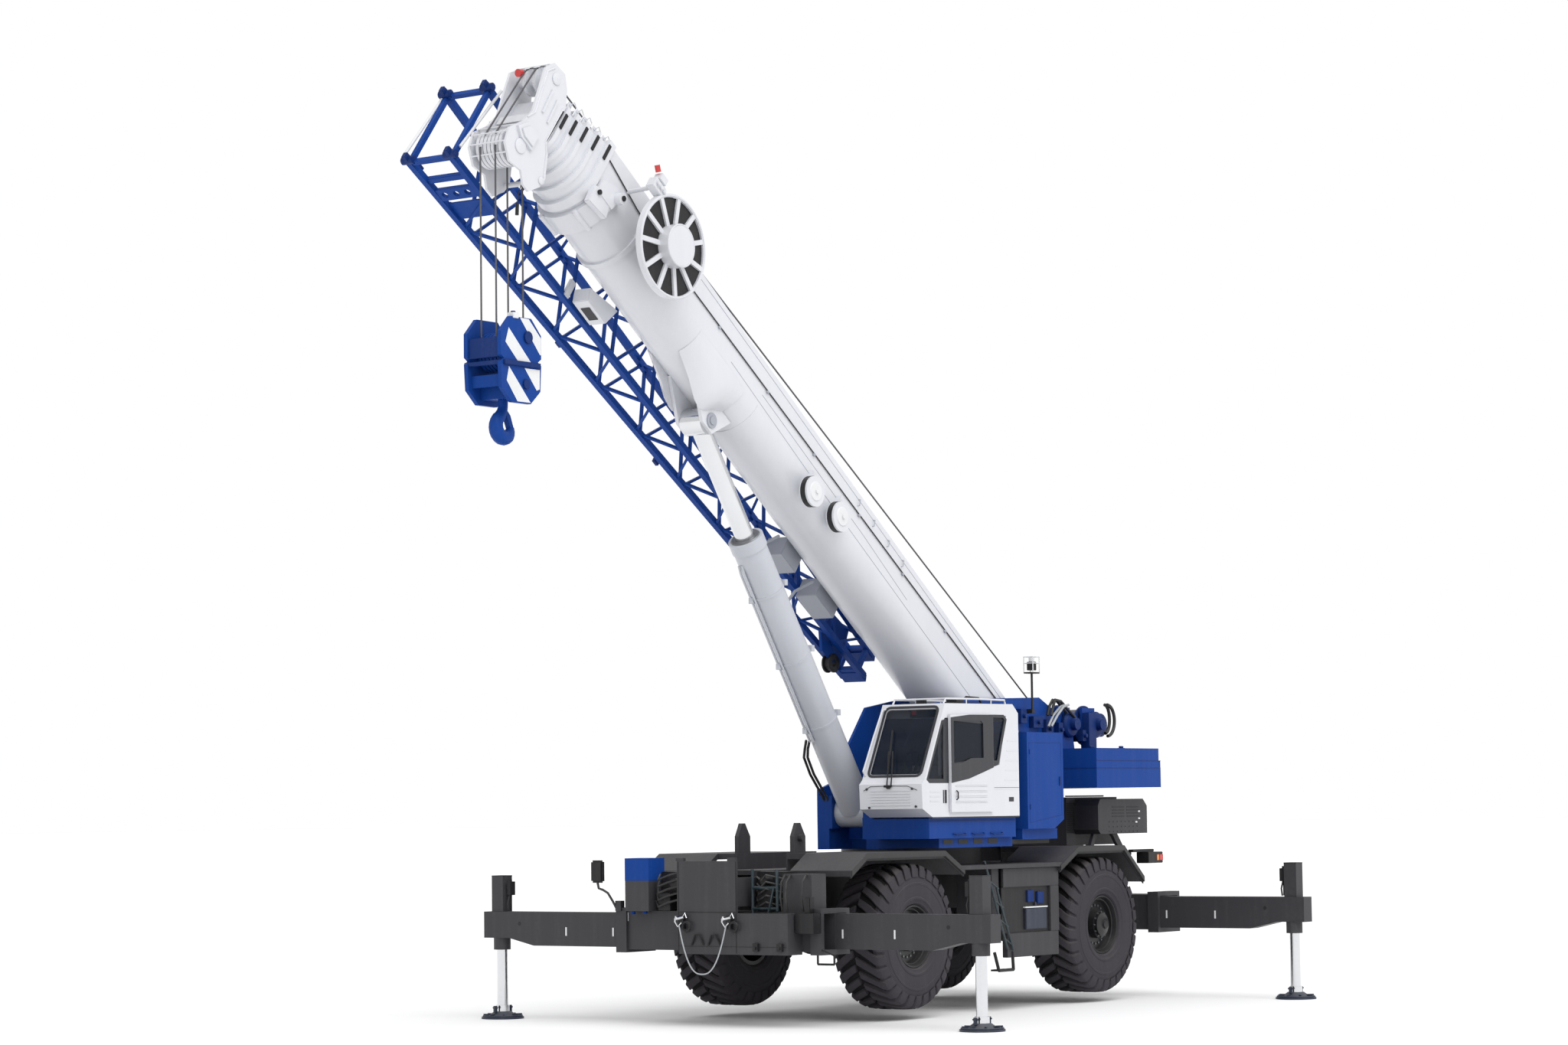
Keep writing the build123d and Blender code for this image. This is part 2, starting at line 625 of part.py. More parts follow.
with BuildPart() as reel_cord:
    rod_y(reel_u, reel_w, reel_r - reel_rim, reel_y + 4, reel_y + 46)
    rod_y(reel_u, reel_w, reel_hub_r, reel_y, reel_y + 50, mode=Mode.SUBTRACT)
write(reel_cord, "reel_cord", boom_frame)

with BuildPart() as reel_arm:
    rod_y(reel_u, 200, 110, boom_half, reel_y - 250)
    rod_y(reel_u, 80, 110, reel_y - 250, reel_y - 60 - seat)
    for u, w in ((5880, -180), (5230, -60)):
        rod_y(u, w, 200, 500, 620)
        block(u - 50, u + 50, boom_half, 500, w, w + 330)
write(reel_arm, "reel_mounts", boom_frame)

# ---- jib lattice pinned along the right side of the boom ----
jib_root_u = 12700
jib_tip_u = 2100
chord_w = 80
lace_w = 36
# rows: y and w of a chord at the root, y and w at the tip
chords = [
    (-640, -600, -760, -180), (-1310, -600, -1080, -180), (-1310, 540, -1080, 180), (-640, 540, -760, 180),
]
jib_bays = 19
lace_from = 0.075     # the lacing starts this share of the length from the root


def on_chord(chord, t):
    """Point on a chord, t = 0 at the root and 1 at the tip."""
    y0, w0, y1, w1 = chord
    return (jib_root_u + (jib_tip_u - jib_root_u) * t, y0 + (y1 - y0) * t, w0 + (w1 - w0) * t)


# rows: where the jib hangs on the boom, u and w
jib_pins = [(9600, 430), (4700, 270)]
jib_plate_u = 12080
with BuildPart() as jib:
    for chord in chords:
        bar(on_chord(chord, 0), on_chord(chord, 1), chord_w)
    for u, w in jib_pins:
        block(u - 40, u + 40, -720, -600, w - 35, w + 35)
    for i in range(4):
        a = chords[i]
        b = chords[(i + 1) % 4]
        start = lace_from + 0.008 * (i % 2)
        step = (0.965 - lace_from) / jib_bays
        for n in range(jib_bays):
            p, q = (a, b) if (n + i) % 2 == 0 else (b, a)
            bar(on_chord(p, start + n * step), on_chord(q, start + (n + 0.85) * step), lace_w)
        for t in (0.004, 0.985):
            bar(on_chord(a, t), on_chord(b, t), lace_w + 25)
    end_y = (chords[0][0] + chords[1][0]) / 2
    block(jib_plate_u - 90, jib_plate_u + 90, chords[1][0], chords[0][0], -610, -560)
    for y in (-180, 0, 180):
        rod_z(jib_plate_u, end_y + y, -620, -550, 45, mode=Mode.SUBTRACT)
write(jib, "jib", boom_frame)

with BuildPart() as jib_mounts:
    for u, w in jib_pins:
        block(u - 70, u + 70, -boom_half, -600, w - 60, w + 60)
write(jib_mounts, "jib_mounts", boom_frame)

# ---- lift cylinder ----
with BuildPart() as lift_barrel:
    rod_x(90, barrel_len, 0, 0, barrel_r)
    rod_x(barrel_len - 160, barrel_len, 0, 0, barrel_r + 15)
    rod_x(320, barrel_len - gland_len, 0, 0, barrel_bore_r, mode=Mode.SUBTRACT)
    rod_x(320, barrel_len, 0, 0, lift_rod_r + run, mode=Mode.SUBTRACT)
    rod_y(0, 0, 200, -ear_y + seat, ear_y - seat)
write(lift_barrel, "lift_barrel", lift_frame)

rod_in = 1850
with BuildPart() as lift_rod:
    rod_x(rod_in, lift_len - 100, 0, 0, lift_rod_r)
    rod_x(rod_in, rod_in + 150, 0, 0, barrel_bore_r - run)
    rod_y(lift_len, 0, 175, -165 + seat, 165 - seat)
    rod_y(lift_len, 0, eye_pin_r + run, -170, 170, mode=Mode.SUBTRACT)
write(lift_rod, "lift_rod", lift_frame)

# ---- hoist falls, hook block and hook, hanging plumb below the head ----
block_z = block_top - 390     # axis of the hook block's sheaves
fall_x = nose_sheave_r + fall_r + 0.2
with BuildPart() as falls:
    for x in (nose_x - fall_x, nose_x + fall_x):
        for y in (-fall_y, fall_y):
            rod_z(x, y, block_z, nose_z, fall_r)
write(falls, "hoist_falls")

# outline of a hook block cheek, x from the middle and z; both ends are waisted where the tie bolts sit
cheek_line = [
    (-190, block_top), (190, block_top), (block_half, block_top - 190), (block_half, block_top - 470),
    (block_half - 60, block_top - 510), (block_half, block_top - 550), (block_half - 20, block_low + 160),
    (170, block_low), (-170, block_low), (20 - block_half, block_low + 160), (-block_half, block_top - 550),
    (60 - block_half, block_top - 510), (-block_half, block_top - 470), (-block_half, block_top - 190),
]
with BuildPart() as hook_block:
    for side in (-1, 1):
        side_plate([(nose_x + x, z) for x, z in cheek_line], side * block_y, side * (block_y + 55))
    for n in range(7):
        y = (n - 3) * sheave_pitch
        rod_y(nose_x, block_z, nose_sheave_r, y - sheave_w / 2, y + sheave_w / 2)
    rod_y(nose_x, block_z, 60, -block_y, block_y)
    block(nose_x - 130, nose_x + 130, -block_y, block_y, block_low + 60, block_low + 230)
    for x in (-270, 270):
        block(nose_x + x - 25, nose_x + x + 25, -block_y, block_y, block_low + 190, block_low + 330)
write(hook_block, "hook_block")

with BuildPart() as hook:
    rod_z(nose_x, 0, hook_low + 300, block_low + 60 - seat, 60)
    rod_y(nose_x, hook_low + 190, 190, -55, 55)
    rod_y(nose_x - 15, hook_low + 215, 80, -60, 60, mode=Mode.SUBTRACT)
    block(nose_x - 250, nose_x - 60, -65, 65, hook_low + 200, hook_low + 300, mode=Mode.SUBTRACT)
write(hook, "hook")
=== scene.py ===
"""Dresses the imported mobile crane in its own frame, in metres: paint, glass, ropes, fittings, studio and camera."""

import json
import logging
import math
from collections.abc import Callable
from dataclasses import dataclass
from enum import Enum

import bmesh
import bpy
from mathutils import Matrix, Vector


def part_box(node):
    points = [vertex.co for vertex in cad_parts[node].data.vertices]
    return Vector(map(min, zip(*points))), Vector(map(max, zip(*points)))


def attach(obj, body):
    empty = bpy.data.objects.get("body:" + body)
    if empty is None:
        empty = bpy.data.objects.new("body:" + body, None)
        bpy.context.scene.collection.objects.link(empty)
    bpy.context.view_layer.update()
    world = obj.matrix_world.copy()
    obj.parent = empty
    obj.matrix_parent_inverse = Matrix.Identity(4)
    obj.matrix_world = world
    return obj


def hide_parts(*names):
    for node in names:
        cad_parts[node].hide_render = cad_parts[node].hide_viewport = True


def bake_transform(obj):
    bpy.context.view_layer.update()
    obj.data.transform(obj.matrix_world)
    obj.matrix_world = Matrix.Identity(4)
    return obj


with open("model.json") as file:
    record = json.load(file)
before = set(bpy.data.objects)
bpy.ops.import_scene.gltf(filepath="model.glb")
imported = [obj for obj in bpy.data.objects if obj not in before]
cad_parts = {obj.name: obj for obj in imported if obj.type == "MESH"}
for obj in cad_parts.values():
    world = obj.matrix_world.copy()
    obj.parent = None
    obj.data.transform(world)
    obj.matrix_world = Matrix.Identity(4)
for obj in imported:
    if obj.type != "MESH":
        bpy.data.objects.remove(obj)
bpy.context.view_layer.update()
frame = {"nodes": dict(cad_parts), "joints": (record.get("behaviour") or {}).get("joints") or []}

log = logging.getLogger("crane")

Colour = tuple[float, float, float]
Point = tuple[float, float, float]

SIDES = (1, -1)
RING_FACES = 8
SMOOTH_ANGLE = 0.6


# ---------------------------------------------------------------- node graphs
class Sock:
    """A node socket that takes part in Python arithmetic; values go through Math nodes."""

    def __init__(self, graph: "Graph", out: bpy.types.NodeSocket) -> None:
        """Wraps one output socket of a graph."""
        self.graph = graph
        self.out = out

    def math(self, operation: str, a: "Sock | float", b: "Sock | float", clamp: bool = False) -> "Sock":
        """Adds a Math node.

        Args:
            operation: the Math node's operation.
            a: first value or socket.
            b: second value or socket.
            clamp: whether the result stays between 0 and 1.

        Returns:
            The node's result.
        """
        settings = {"operation": operation, "use_clamp": clamp}
        return self.graph.node("ShaderNodeMath", settings, {0: a, 1: b})

    def __add__(self, other: "Sock | float") -> "Sock":
        """Sum."""
        return self.math("ADD", self, other)

    def __sub__(self, other: "Sock | float") -> "Sock":
        """Difference."""
        return self.math("SUBTRACT", self, other)

    def __mul__(self, other: "Sock | float") -> "Sock":
        """Product."""
        return self.math("MULTIPLY", self, other)

    def __truediv__(self, other: "Sock | float") -> "Sock":
        """Quotient."""
        return self.math("DIVIDE", self, other)

    def above(self, edge: float, softness: float) -> "Sock":
        """Rises from 0 to 1 over a soft edge.

        Args:
            edge: where the rise is half way.
            softness: width of the rise.

        Returns:
            A mask between 0 and 1.
        """
        return self.math("ADD", (self - edge) / softness, 0.5, clamp=True)


class Graph:
    """A node tree with one way to add a node."""

    def __init__(self, tree: bpy.types.NodeTree) -> None:
        """Takes an empty shader or geometry tree."""
        self.tree = tree

    def node(self, kind: str, settings: dict | None = None, inputs: dict | None = None,
             output: int | str = 0) -> Sock:
        """Adds a node, sets it up and links its inputs.

        Args:
            kind: the node's type name.
            settings: attributes of the node, set before its inputs.
            inputs: input name or index to a value or a Sock.
            output: the output that is handed back.

        Returns:
            The chosen output.
        """
        made = self.tree.nodes.new(kind)
        for key, value in (settings or {}).items():
            setattr(made, key, value)
        for key, value in (inputs or {}).items():
            if isinstance(value, Sock):
                self.tree.links.new(value.out, made.inputs[key])
            else:
                made.inputs[key].default_value = value
        return Sock(self, made.outputs[output]) if len(made.outputs) else Sock(self, None)

    def mix(self, low: "Sock | Colour", high: "Sock | Colour", factor: Sock) -> Sock:
        """Blends two colours.

        Args:
            low: colour where the factor is 0.
            high: colour where the factor is 1.
            factor: the blend.

        Returns:
            The blended colour.
        """
        ends = [(*c, 1.0) if isinstance(c, tuple) else c for c in (low, high)]
        settings = {"data_type": "RGBA", "clamp_factor": True}
        return self.node("ShaderNodeMix", settings, {0: factor, 6: ends[0], 7: ends[1]}, 2)


# ---------------------------------------------------------------- finishes
def started(name: str) -> tuple[bpy.types.Material, Graph]:
    """An empty material and its graph.

    Args:
        name: the material's name.

    Returns:
        The material and the graph of its tree.
    """
    made = bpy.data.materials.new(name)
    made.use_nodes = True
    made.node_tree.nodes.clear()
    return made, Graph(made.node_tree)


@dataclass(frozen=True)
class Finish:
    """A surface: its colour, gloss, and how dust and wear lie on it."""

    name: str
    slot: str
    colour: Colour
    roughness: float = 0.4
    metallic: float = 0.0
    coat: float = 0.0
    mottle: float = 0.12
    dust: float = 0.15
    streaks: float = 0.1
    grain: float = 0.02
    grain_scale: float = 90.0
    alpha: float = 1.0
    gloss: float = 0.5
    dust_colour: Colour = (0.42, 0.39, 0.35)

    def material(self) -> bpy.types.Material:
        """The finish as a material, made once.

        Returns:
            A material whose pattern lies in Object coordinates.
        """
        known = bpy.data.materials.get(self.name)
        if known:
            return known
        made, g = started(self.name)
        place = g.node("ShaderNodeTexCoord", output="Object")
        tall = g.node("ShaderNodeMapping", inputs={"Vector": place, "Scale": (6.0, 6.0, 0.35)})
        blotch = g.node("ShaderNodeTexNoise", inputs={"Vector": place, "Scale": 1.3, "Detail": 4.0}, output="Fac")
        speck = g.node("ShaderNodeTexNoise", inputs={"Vector": place, "Scale": 22.0, "Detail": 5.0}, output="Fac")
        rain = g.node("ShaderNodeTexNoise", inputs={"Vector": tall, "Scale": 1.6, "Detail": 3.0}, output="Fac")
        fine = g.node("ShaderNodeTexNoise", inputs={"Vector": place, "Scale": self.grain_scale}, output="Fac")
        normal = g.node("ShaderNodeNewGeometry", output="Normal")
        up = g.node("ShaderNodeSeparateXYZ", inputs={"Vector": normal}, output="Z")
        shade = tuple(c * (1.0 - 2.2 * self.mottle) for c in self.colour)
        light = tuple(min(1.0, c * (1.0 + 1.2 * self.mottle) + 0.01 * self.mottle) for c in self.colour)
        colour = g.mix(shade, light, blotch * 0.7 + speck * 0.3)
        settled = up.above(0.7, 0.6) * blotch.above(0.45, 0.5) * (1.4 * self.dust)
        run_marks = rain.above(0.58, 0.2) * self.streaks
        colour = g.mix(colour, self.dust_colour, settled + run_marks * speck.above(0.5, 0.5))
        rough = speck * 0.14 + settled * 0.5 + (self.roughness - 0.07)
        bump = g.node("ShaderNodeBump", inputs={"Height": fine, "Strength": self.grain, "Distance": 0.01})
        values = {"Base Color": colour, "Roughness": rough, "Metallic": self.metallic, "Coat Weight": self.coat,
                  "Coat Roughness": 0.08, "Normal": bump, "Alpha": self.alpha, "Specular IOR Level": self.gloss}
        shader = g.node("ShaderNodeBsdfPrincipled", inputs=values)
        g.node("ShaderNodeOutputMaterial", inputs={"Surface": shader})
        return made


@dataclass(frozen=True)
class Glow:
    """A lamp lens with a little light in it."""

    name: str
    slot: str
    colour: Colour
    strength: float = 0.25

    def material(self) -> bpy.types.Material:
        """The lens as a material, made once.

        Returns:
            A glossy material with a weak emission.
        """
        known = bpy.data.materials.get(self.name)
        if known:
            return known
        made, g = started(self.name)
        place = g.node("ShaderNodeTexCoord", output="Object")
        ribs = g.node("ShaderNodeTexNoise", inputs={"Vector": place, "Scale": 60.0}, output="Fac")
        dark = tuple(c * 0.6 for c in self.colour)
        colour = g.mix(dark, self.colour, ribs)
        values = {"Base Color": colour, "Roughness": ribs * 0.2 + 0.1, "Emission Color": colour,
                  "Emission Strength": self.strength, "Coat Weight": 0.6}
        shader = g.node("ShaderNodeBsdfPrincipled", inputs=values)
        g.node("ShaderNodeOutputMaterial", inputs={"Surface": shader})
        return made


BLUE = Finish("blue_gloss", "blue_paint", (0.007, 0.050, 0.262), 0.42, mottle=0.07, dust=0.012, streaks=0.02,
              gloss=0.1)
# Darker copy of the blue paint: painted shade, used on the winches and on small blue fittings, seams and pins.
BLUE_IN_SHADE = Finish("blue_shaded", "blue_paint", (0.006, 0.028, 0.145), 0.45, mottle=0.08, dust=0.02, streaks=0.03,
              gloss=0.15)
WHITE = Finish("white_gloss", "white_paint", (0.66, 0.67, 0.71), 0.36, coat=0.35, mottle=0.03, dust=0.05,
               streaks=0.07)
CYLINDER = Finish("white_cylinder", "white_paint", (0.50, 0.52, 0.57), 0.38, coat=0.2, mottle=0.05, dust=0.08)
SHADE = Finish("white_in_shade", "white_paint", (0.36, 0.38, 0.43), 0.45, mottle=0.06, dust=0.08)
GREY = Finish("carrier_grey", "dark_paint", (0.040, 0.039, 0.044), 0.5, mottle=0.07, dust=0.07, streaks=0.03,
              gloss=0.35)
SLATE = Finish("float_slate", "slate_paint", (0.030, 0.038, 0.062), 0.5, mottle=0.08, dust=0.14, streaks=0.05,
               gloss=0.4)
TYRE = Finish("tyre_black", "tyre_rubber", (0.043, 0.039, 0.047), 0.8, mottle=0.12, dust=0.12, streaks=0.02,
              grain=0.12, grain_scale=45.0, gloss=0.25)
# Same rubber as the tyre, made darker: painted shade in the tread between the lugs.
TREAD_SHADE = Finish("tyre_groove", "tyre_rubber", (0.012, 0.011, 0.013), 0.9, mottle=0.15, dust=0.05, streaks=0.02,
                gloss=0.15)
RIM = Finish("rim_black", "dark_paint", (0.014, 0.014, 0.016), 0.35, mottle=0.1, dust=0.06, streaks=0.02)
CHROME = Finish("rod_chrome", "chrome_rod", (0.74, 0.75, 0.77), 0.16, metallic=1.0, mottle=0.04, dust=0.02,
                streaks=0.03)
STEEL = Finish("bare_steel", "grey_steel", (0.20, 0.21, 0.22), 0.45, metallic=0.8, dust=0.08)
ROPE = Finish("wire_rope", "grey_steel", (0.10, 0.10, 0.11), 0.5, metallic=0.5, grain=0.4, grain_scale=160.0)
CABLE = Finish("pale_cable", "grey_steel", (0.42, 0.44, 0.46), 0.45, metallic=0.3, dust=0.05)
# Black for trim and fittings, also used as painted shade in recesses, openings and gaps.
BLACK = Finish("black_trim", "black_plastic", (0.012, 0.012, 0.014), 0.45, dust=0.06, streaks=0.03, gloss=0.35)
SEAL = Finish("window_seal", "black_plastic", (0.026, 0.027, 0.033), 0.4, dust=0.05, streaks=0.03)
SEAT = Finish("seat_cloth", "black_plastic", (0.30, 0.31, 0.34), 0.9, grain=0.25, grain_scale=220.0)
HOSE = Finish("black_hose", "black_plastic", (0.016, 0.016, 0.018), 0.55, grain=0.1)
TEAL = Finish("ladder_teal", "dark_paint", (0.012, 0.030, 0.040), 0.4, mottle=0.1, dust=0.08)
STRIPE = Finish("white_stripe", "white_paint", (0.72, 0.73, 0.74), 0.5, mottle=0.05, dust=0.08)
ORANGE = Finish("orange_plate", "white_paint", (0.52, 0.16, 0.05), 0.5, mottle=0.05, dust=0.08)
GLASS = Finish("tinted_glass", "black_plastic", (0.010, 0.015, 0.026), 0.08, mottle=0.05, dust=0.005, streaks=0.005,
               alpha=0.52, gloss=0.25)
RED = Glow("red_lens", "black_plastic", (0.55, 0.02, 0.02))
AMBER = Glow("amber_lens", "black_plastic", (0.75, 0.22, 0.02))


# ---------------------------------------------------------------- shapes
class Form:
    """Gathers solids, drawn in a frame of their own, and turns them into one named piece."""

    def __init__(self, place: Callable[..., Point] | None = None) -> None:
        """Starts empty.

        Args:
            place: takes a point's three numbers into the part's frame, as they are if not given.
        """
        self.place = place or (lambda x, y, z: (x, y, z))
        self.points: list[Vector] = []
        self.faces: list[tuple[int, ...]] = []

    def _add(self, points: list[Vector], faces: list[tuple[int, ...]]) -> None:
        """Appends points and the faces between them."""
        base = len(self.points)
        self.points += points
        self.faces += [tuple(base + i for i in f) for f in faces]

    def prism(self, outline: list[Point], along: Point) -> "Form":
        """Adds a flat outline pushed along a vector.

        Args:
            outline: corners in order round the outline.
            along: the push.

        Returns:
            This form.
        """
        n = len(outline)
        low = [Vector(self.place(*p)) for p in outline]
        high = [p + Vector(along) for p in low]
        sides = [(i, (i + 1) % n, n + (i + 1) % n, n + i) for i in range(n)]
        self._add(low + high, [tuple(reversed(range(n))), tuple(range(n, 2 * n)), *sides])
        return self

    def frame(self, outer: list[Point], inner: list[Point], along: Point) -> "Form":
        """Adds a flat ring between two outlines, pushed along a vector.

        Args:
            outer: corners of the outer outline.
            inner: as many corners of the inner outline, each beside its outer one.
            along: the push.

        Returns:
            This form.
        """
        n = len(outer)
        for i in range(n):
            j = (i + 1) % n
            self.prism([outer[i], outer[j], inner[j], inner[i]], along)
        return self

    def loft(self, sections: list[list[Point]]) -> "Form":
        """Adds a solid that runs through sections of equally many points, closed at both ends.

        Args:
            sections: outlines in order, each with its points in the same order.

        Returns:
            This form.
        """
        n = len(sections[0])
        faces = [tuple(reversed(range(n))), tuple(range((len(sections) - 1) * n, len(sections) * n))]
        for i in range(len(sections) - 1):
            faces += [(i * n + k, i * n + (k + 1) % n, (i + 1) * n + (k + 1) % n, (i + 1) * n + k) for k in range(n)]
        self._add([Vector(self.place(*p)) for section in sections for p in section], faces)
        return self

    def ring(self, centre: Point, axis: Point, radius: float, thick: float, sides: int = 24) -> "Form":
        """Adds a round bar bent into a closed ring."""
        arc = [math.tau * k / RING_FACES for k in range(RING_FACES)]
        return self.lathe(centre, axis, [(radius + thick * math.cos(t), thick * math.sin(t)) for t in arc], sides)

    def box(self, low: Point, high: Point) -> "Form":
        """Adds a box between two corners."""
        (x0, y0, z0), (x1, y1, z1) = low, high
        return self.prism([(x0, y0, z0), (x1, y0, z0), (x1, y1, z0), (x0, y1, z0)], (0, 0, z1 - z0))

    def boxes(self, *rows: tuple[float, ...]) -> "Form":
        """Adds boxes.

        Args:
            rows: X, Y and Z of a box's low corner, then of its high corner.

        Returns:
            This form.
        """
        for row in rows:
            self.box(row[:3], row[3:])
        return self

    def chain(self, route: list[Point], radius: float, sides: int) -> "Form":
        """Adds straight round bars from point to point.

        Args:
            route: the points in order.
            radius: the bars' radius.
            sides: number of faces round each.

        Returns:
            This form.
        """
        for start, end in zip(route, route[1:]):
            self.rod(start, end, radius, sides)
        return self

    def rod(self, start: Point, end: Point, radius: float, sides: int = 12) -> "Form":
        """Adds a round bar between two points.

        Args:
            start: centre of one end.
            end: centre of the other end.
            radius: its radius.
            sides: number of faces round it.

        Returns:
            This form.
        """
        a, b = Vector(self.place(*start)), Vector(self.place(*end))
        turn = (b - a).to_track_quat("Z", "Y").to_matrix()
        rings = []
        for centre in (a, b):
            for i in range(sides):
                t = 2 * math.pi * i / sides
                rings.append(centre + turn @ Vector((radius * math.cos(t), radius * math.sin(t), 0)))
        around = [(i, (i + 1) % sides, sides + (i + 1) % sides, sides + i) for i in range(sides)]
        self._add(rings, [tuple(reversed(range(sides))), tuple(range(sides, 2 * sides)), *around])
        return self

    def pipe(self, route: list[Point], radius: float, sides: int = 10) -> "Form":
        """Adds a round bar that follows a smooth route.

        Args:
            route: points along the bar's centre.
            radius: its radius.
            sides: number of faces round it.

        Returns:
            This form.
        """
        path = [Vector(self.place(*p)) for p in route]
        aim = (path[1] - path[0]).normalized()
        across = aim.orthogonal().normalized()
        rings: list[Vector] = []
        for i, centre in enumerate(path):
            ahead = path[min(i + 1, len(path) - 1)] - path[max(i - 1, 0)]
            across = (across - ahead * (across.dot(ahead) / ahead.length_squared)).normalized()
            other = ahead.normalized().cross(across)
            for k in range(sides):
                t = 2 * math.pi * k / sides
                rings.append(centre + (across * math.cos(t) + other * math.sin(t)) * radius)
        faces: list[tuple[int, ...]] = [tuple(reversed(range(sides)))]
        faces.append(tuple(range((len(path) - 1) * sides, len(path) * sides)))
        for i in range(len(path) - 1):
            for k in range(sides):
                a, b = i * sides + k, i * sides + (k + 1) % sides
                faces.append((a, b, b + sides, a + sides))
        self._add(rings, faces)
        return self

    def lathe(self, centre: Point, axis: Point, profile: list[tuple[float, float]], sides: int = 32) -> "Form":
        """Adds a turned solid.

        Args:
            centre: where the profile's height is 0.
            axis: direction of growing height.
            profile: closed outline of (radius, height).
            sides: number of faces round it.

        Returns:
            This form.
        """
        turn = Vector(axis).to_track_quat("Z", "Y").to_matrix()
        spot = Vector(self.place(*centre))
        n = len(profile)
        rings = []
        for i in range(sides):
            t = 2 * math.pi * i / sides
            rings += [spot + turn @ Vector((r * math.cos(t), r * math.sin(t), h)) for r, h in profile]
        faces = []
        for i in range(sides):
            j = (i + 1) % sides
            faces += [(i * n + k, i * n + (k + 1) % n, j * n + (k + 1) % n, j * n + k) for k in range(n)]
        self._add(rings, faces)
        return self

    def piece(self, name: str, finish: "Finish | Glow", body: str, bevel: float = 0.0) -> bpy.types.Object:
        """Makes the piece and lets it ride on a body.

        Args:
            name: the piece's name.
            finish: its surface.
            body: the body it moves with.
            bevel: width of its rounded edges.

        Returns:
            The finished object.
        """
        return settle(self.mesh(name, bevel), name, finish, body)

    def mesh(self, name: str, bevel: float = 0.0) -> bpy.types.Mesh:
        """Makes the mesh alone.

        Args:
            name: the mesh's name.
            bevel: width of its rounded edges.

        Returns:
            The mesh, with its normals outwards.
        """
        mesh = bpy.data.meshes.new(name)
        mesh.from_pydata([tuple(p) for p in self.points], [], self.faces)
        work = bmesh.new()
        work.from_mesh(mesh)
        bmesh.ops.recalc_face_normals(work, faces=work.faces)
        if bevel:
            sharp = [e for e in work.edges if e.is_manifold and e.calc_face_angle() > SMOOTH_ANGLE]
            bmesh.ops.bevel(work, geom=sharp, offset=bevel, segments=2, affect="EDGES", clamp_overlap=True)
        work.to_mesh(mesh)
        work.free()
        for polygon in mesh.polygons:
            polygon.use_smooth = True
        mesh.set_sharp_from_angle(angle=SMOOTH_ANGLE)
        return mesh


def settle(mesh: bpy.types.Mesh, name: str, finish: "Finish | Glow", body: str) -> bpy.types.Object:
    """Puts a finished mesh in the scene.

    Args:
        mesh: the mesh, in place.
        name: the piece's name.
        finish: its surface.
        body: the body it moves with.

    Returns:
        The finished object.
    """
    mesh.materials.clear()
    mesh.materials.append(finish.material())
    made = bpy.data.objects.new(name, mesh)
    bpy.context.scene.collection.objects.link(made)
    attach(made, body)
    log.info("%s rides on %s", name, body)
    return made


class Layout(Enum):
    """How a repeated item is laid out."""

    RING = "ring"
    ROW = "row"


class Item(Enum):
    """What is repeated."""

    BOLT = "bolt"
    SLAT = "slat"


def grown(seed: bpy.types.Mesh, tree: bpy.types.NodeTree, values: dict) -> bpy.types.Mesh:
    """Runs a Geometry Nodes tree on a mesh.

    Args:
        seed: the mesh it starts from, which is used up.
        tree: the tree.
        values: its named inputs.

    Returns:
        The tree's result as a mesh of its own.
    """
    carrier = bpy.data.objects.new("seed", seed)
    bpy.context.scene.collection.objects.link(carrier)
    modifier = carrier.modifiers.new("grow", "NODES")
    modifier.node_group = tree
    for entry in tree.interface.items_tree:
        if entry.in_out == "INPUT" and entry.name in values:
            modifier[entry.identifier] = values[entry.name]
    graph = bpy.context.evaluated_depsgraph_get()
    made = bpy.data.meshes.new_from_object(carrier.evaluated_get(graph))
    bpy.data.objects.remove(carrier)
    return made


def new_tree(name: str, sockets: dict[str, str]) -> tuple[bpy.types.NodeTree, Graph, list[Sock]]:
    """A Geometry Nodes tree with named inputs and one geometry output.

    Args:
        name: the tree's name.
        sockets: input names and their kinds.

    Returns:
        The tree, its graph and its inputs in order.
    """
    tree = bpy.data.node_groups.new(name, "GeometryNodeTree")
    for label, kind in sockets.items():
        tree.interface.new_socket(label, in_out="INPUT", socket_type="NodeSocket" + kind)
    tree.interface.new_socket("Geometry", in_out="OUTPUT", socket_type="NodeSocketGeometry")
    g = Graph(tree)
    given = tree.nodes.new("NodeGroupInput")
    return tree, g, [Sock(g, given.outputs[label]) for label in sockets]


def finished(g: Graph, laid: Sock, finish: Sock) -> None:
    """Ends a tree: realized copies with their material.

    Args:
        g: the tree's graph.
        laid: the laid-out copies.
        finish: the material.
    """
    solid = g.node("GeometryNodeRealizeInstances", inputs={"Geometry": laid})
    done = g.node("GeometryNodeSetMaterial", inputs={"Geometry": solid, "Material": finish})
    g.node("NodeGroupOutput", inputs={0: done})


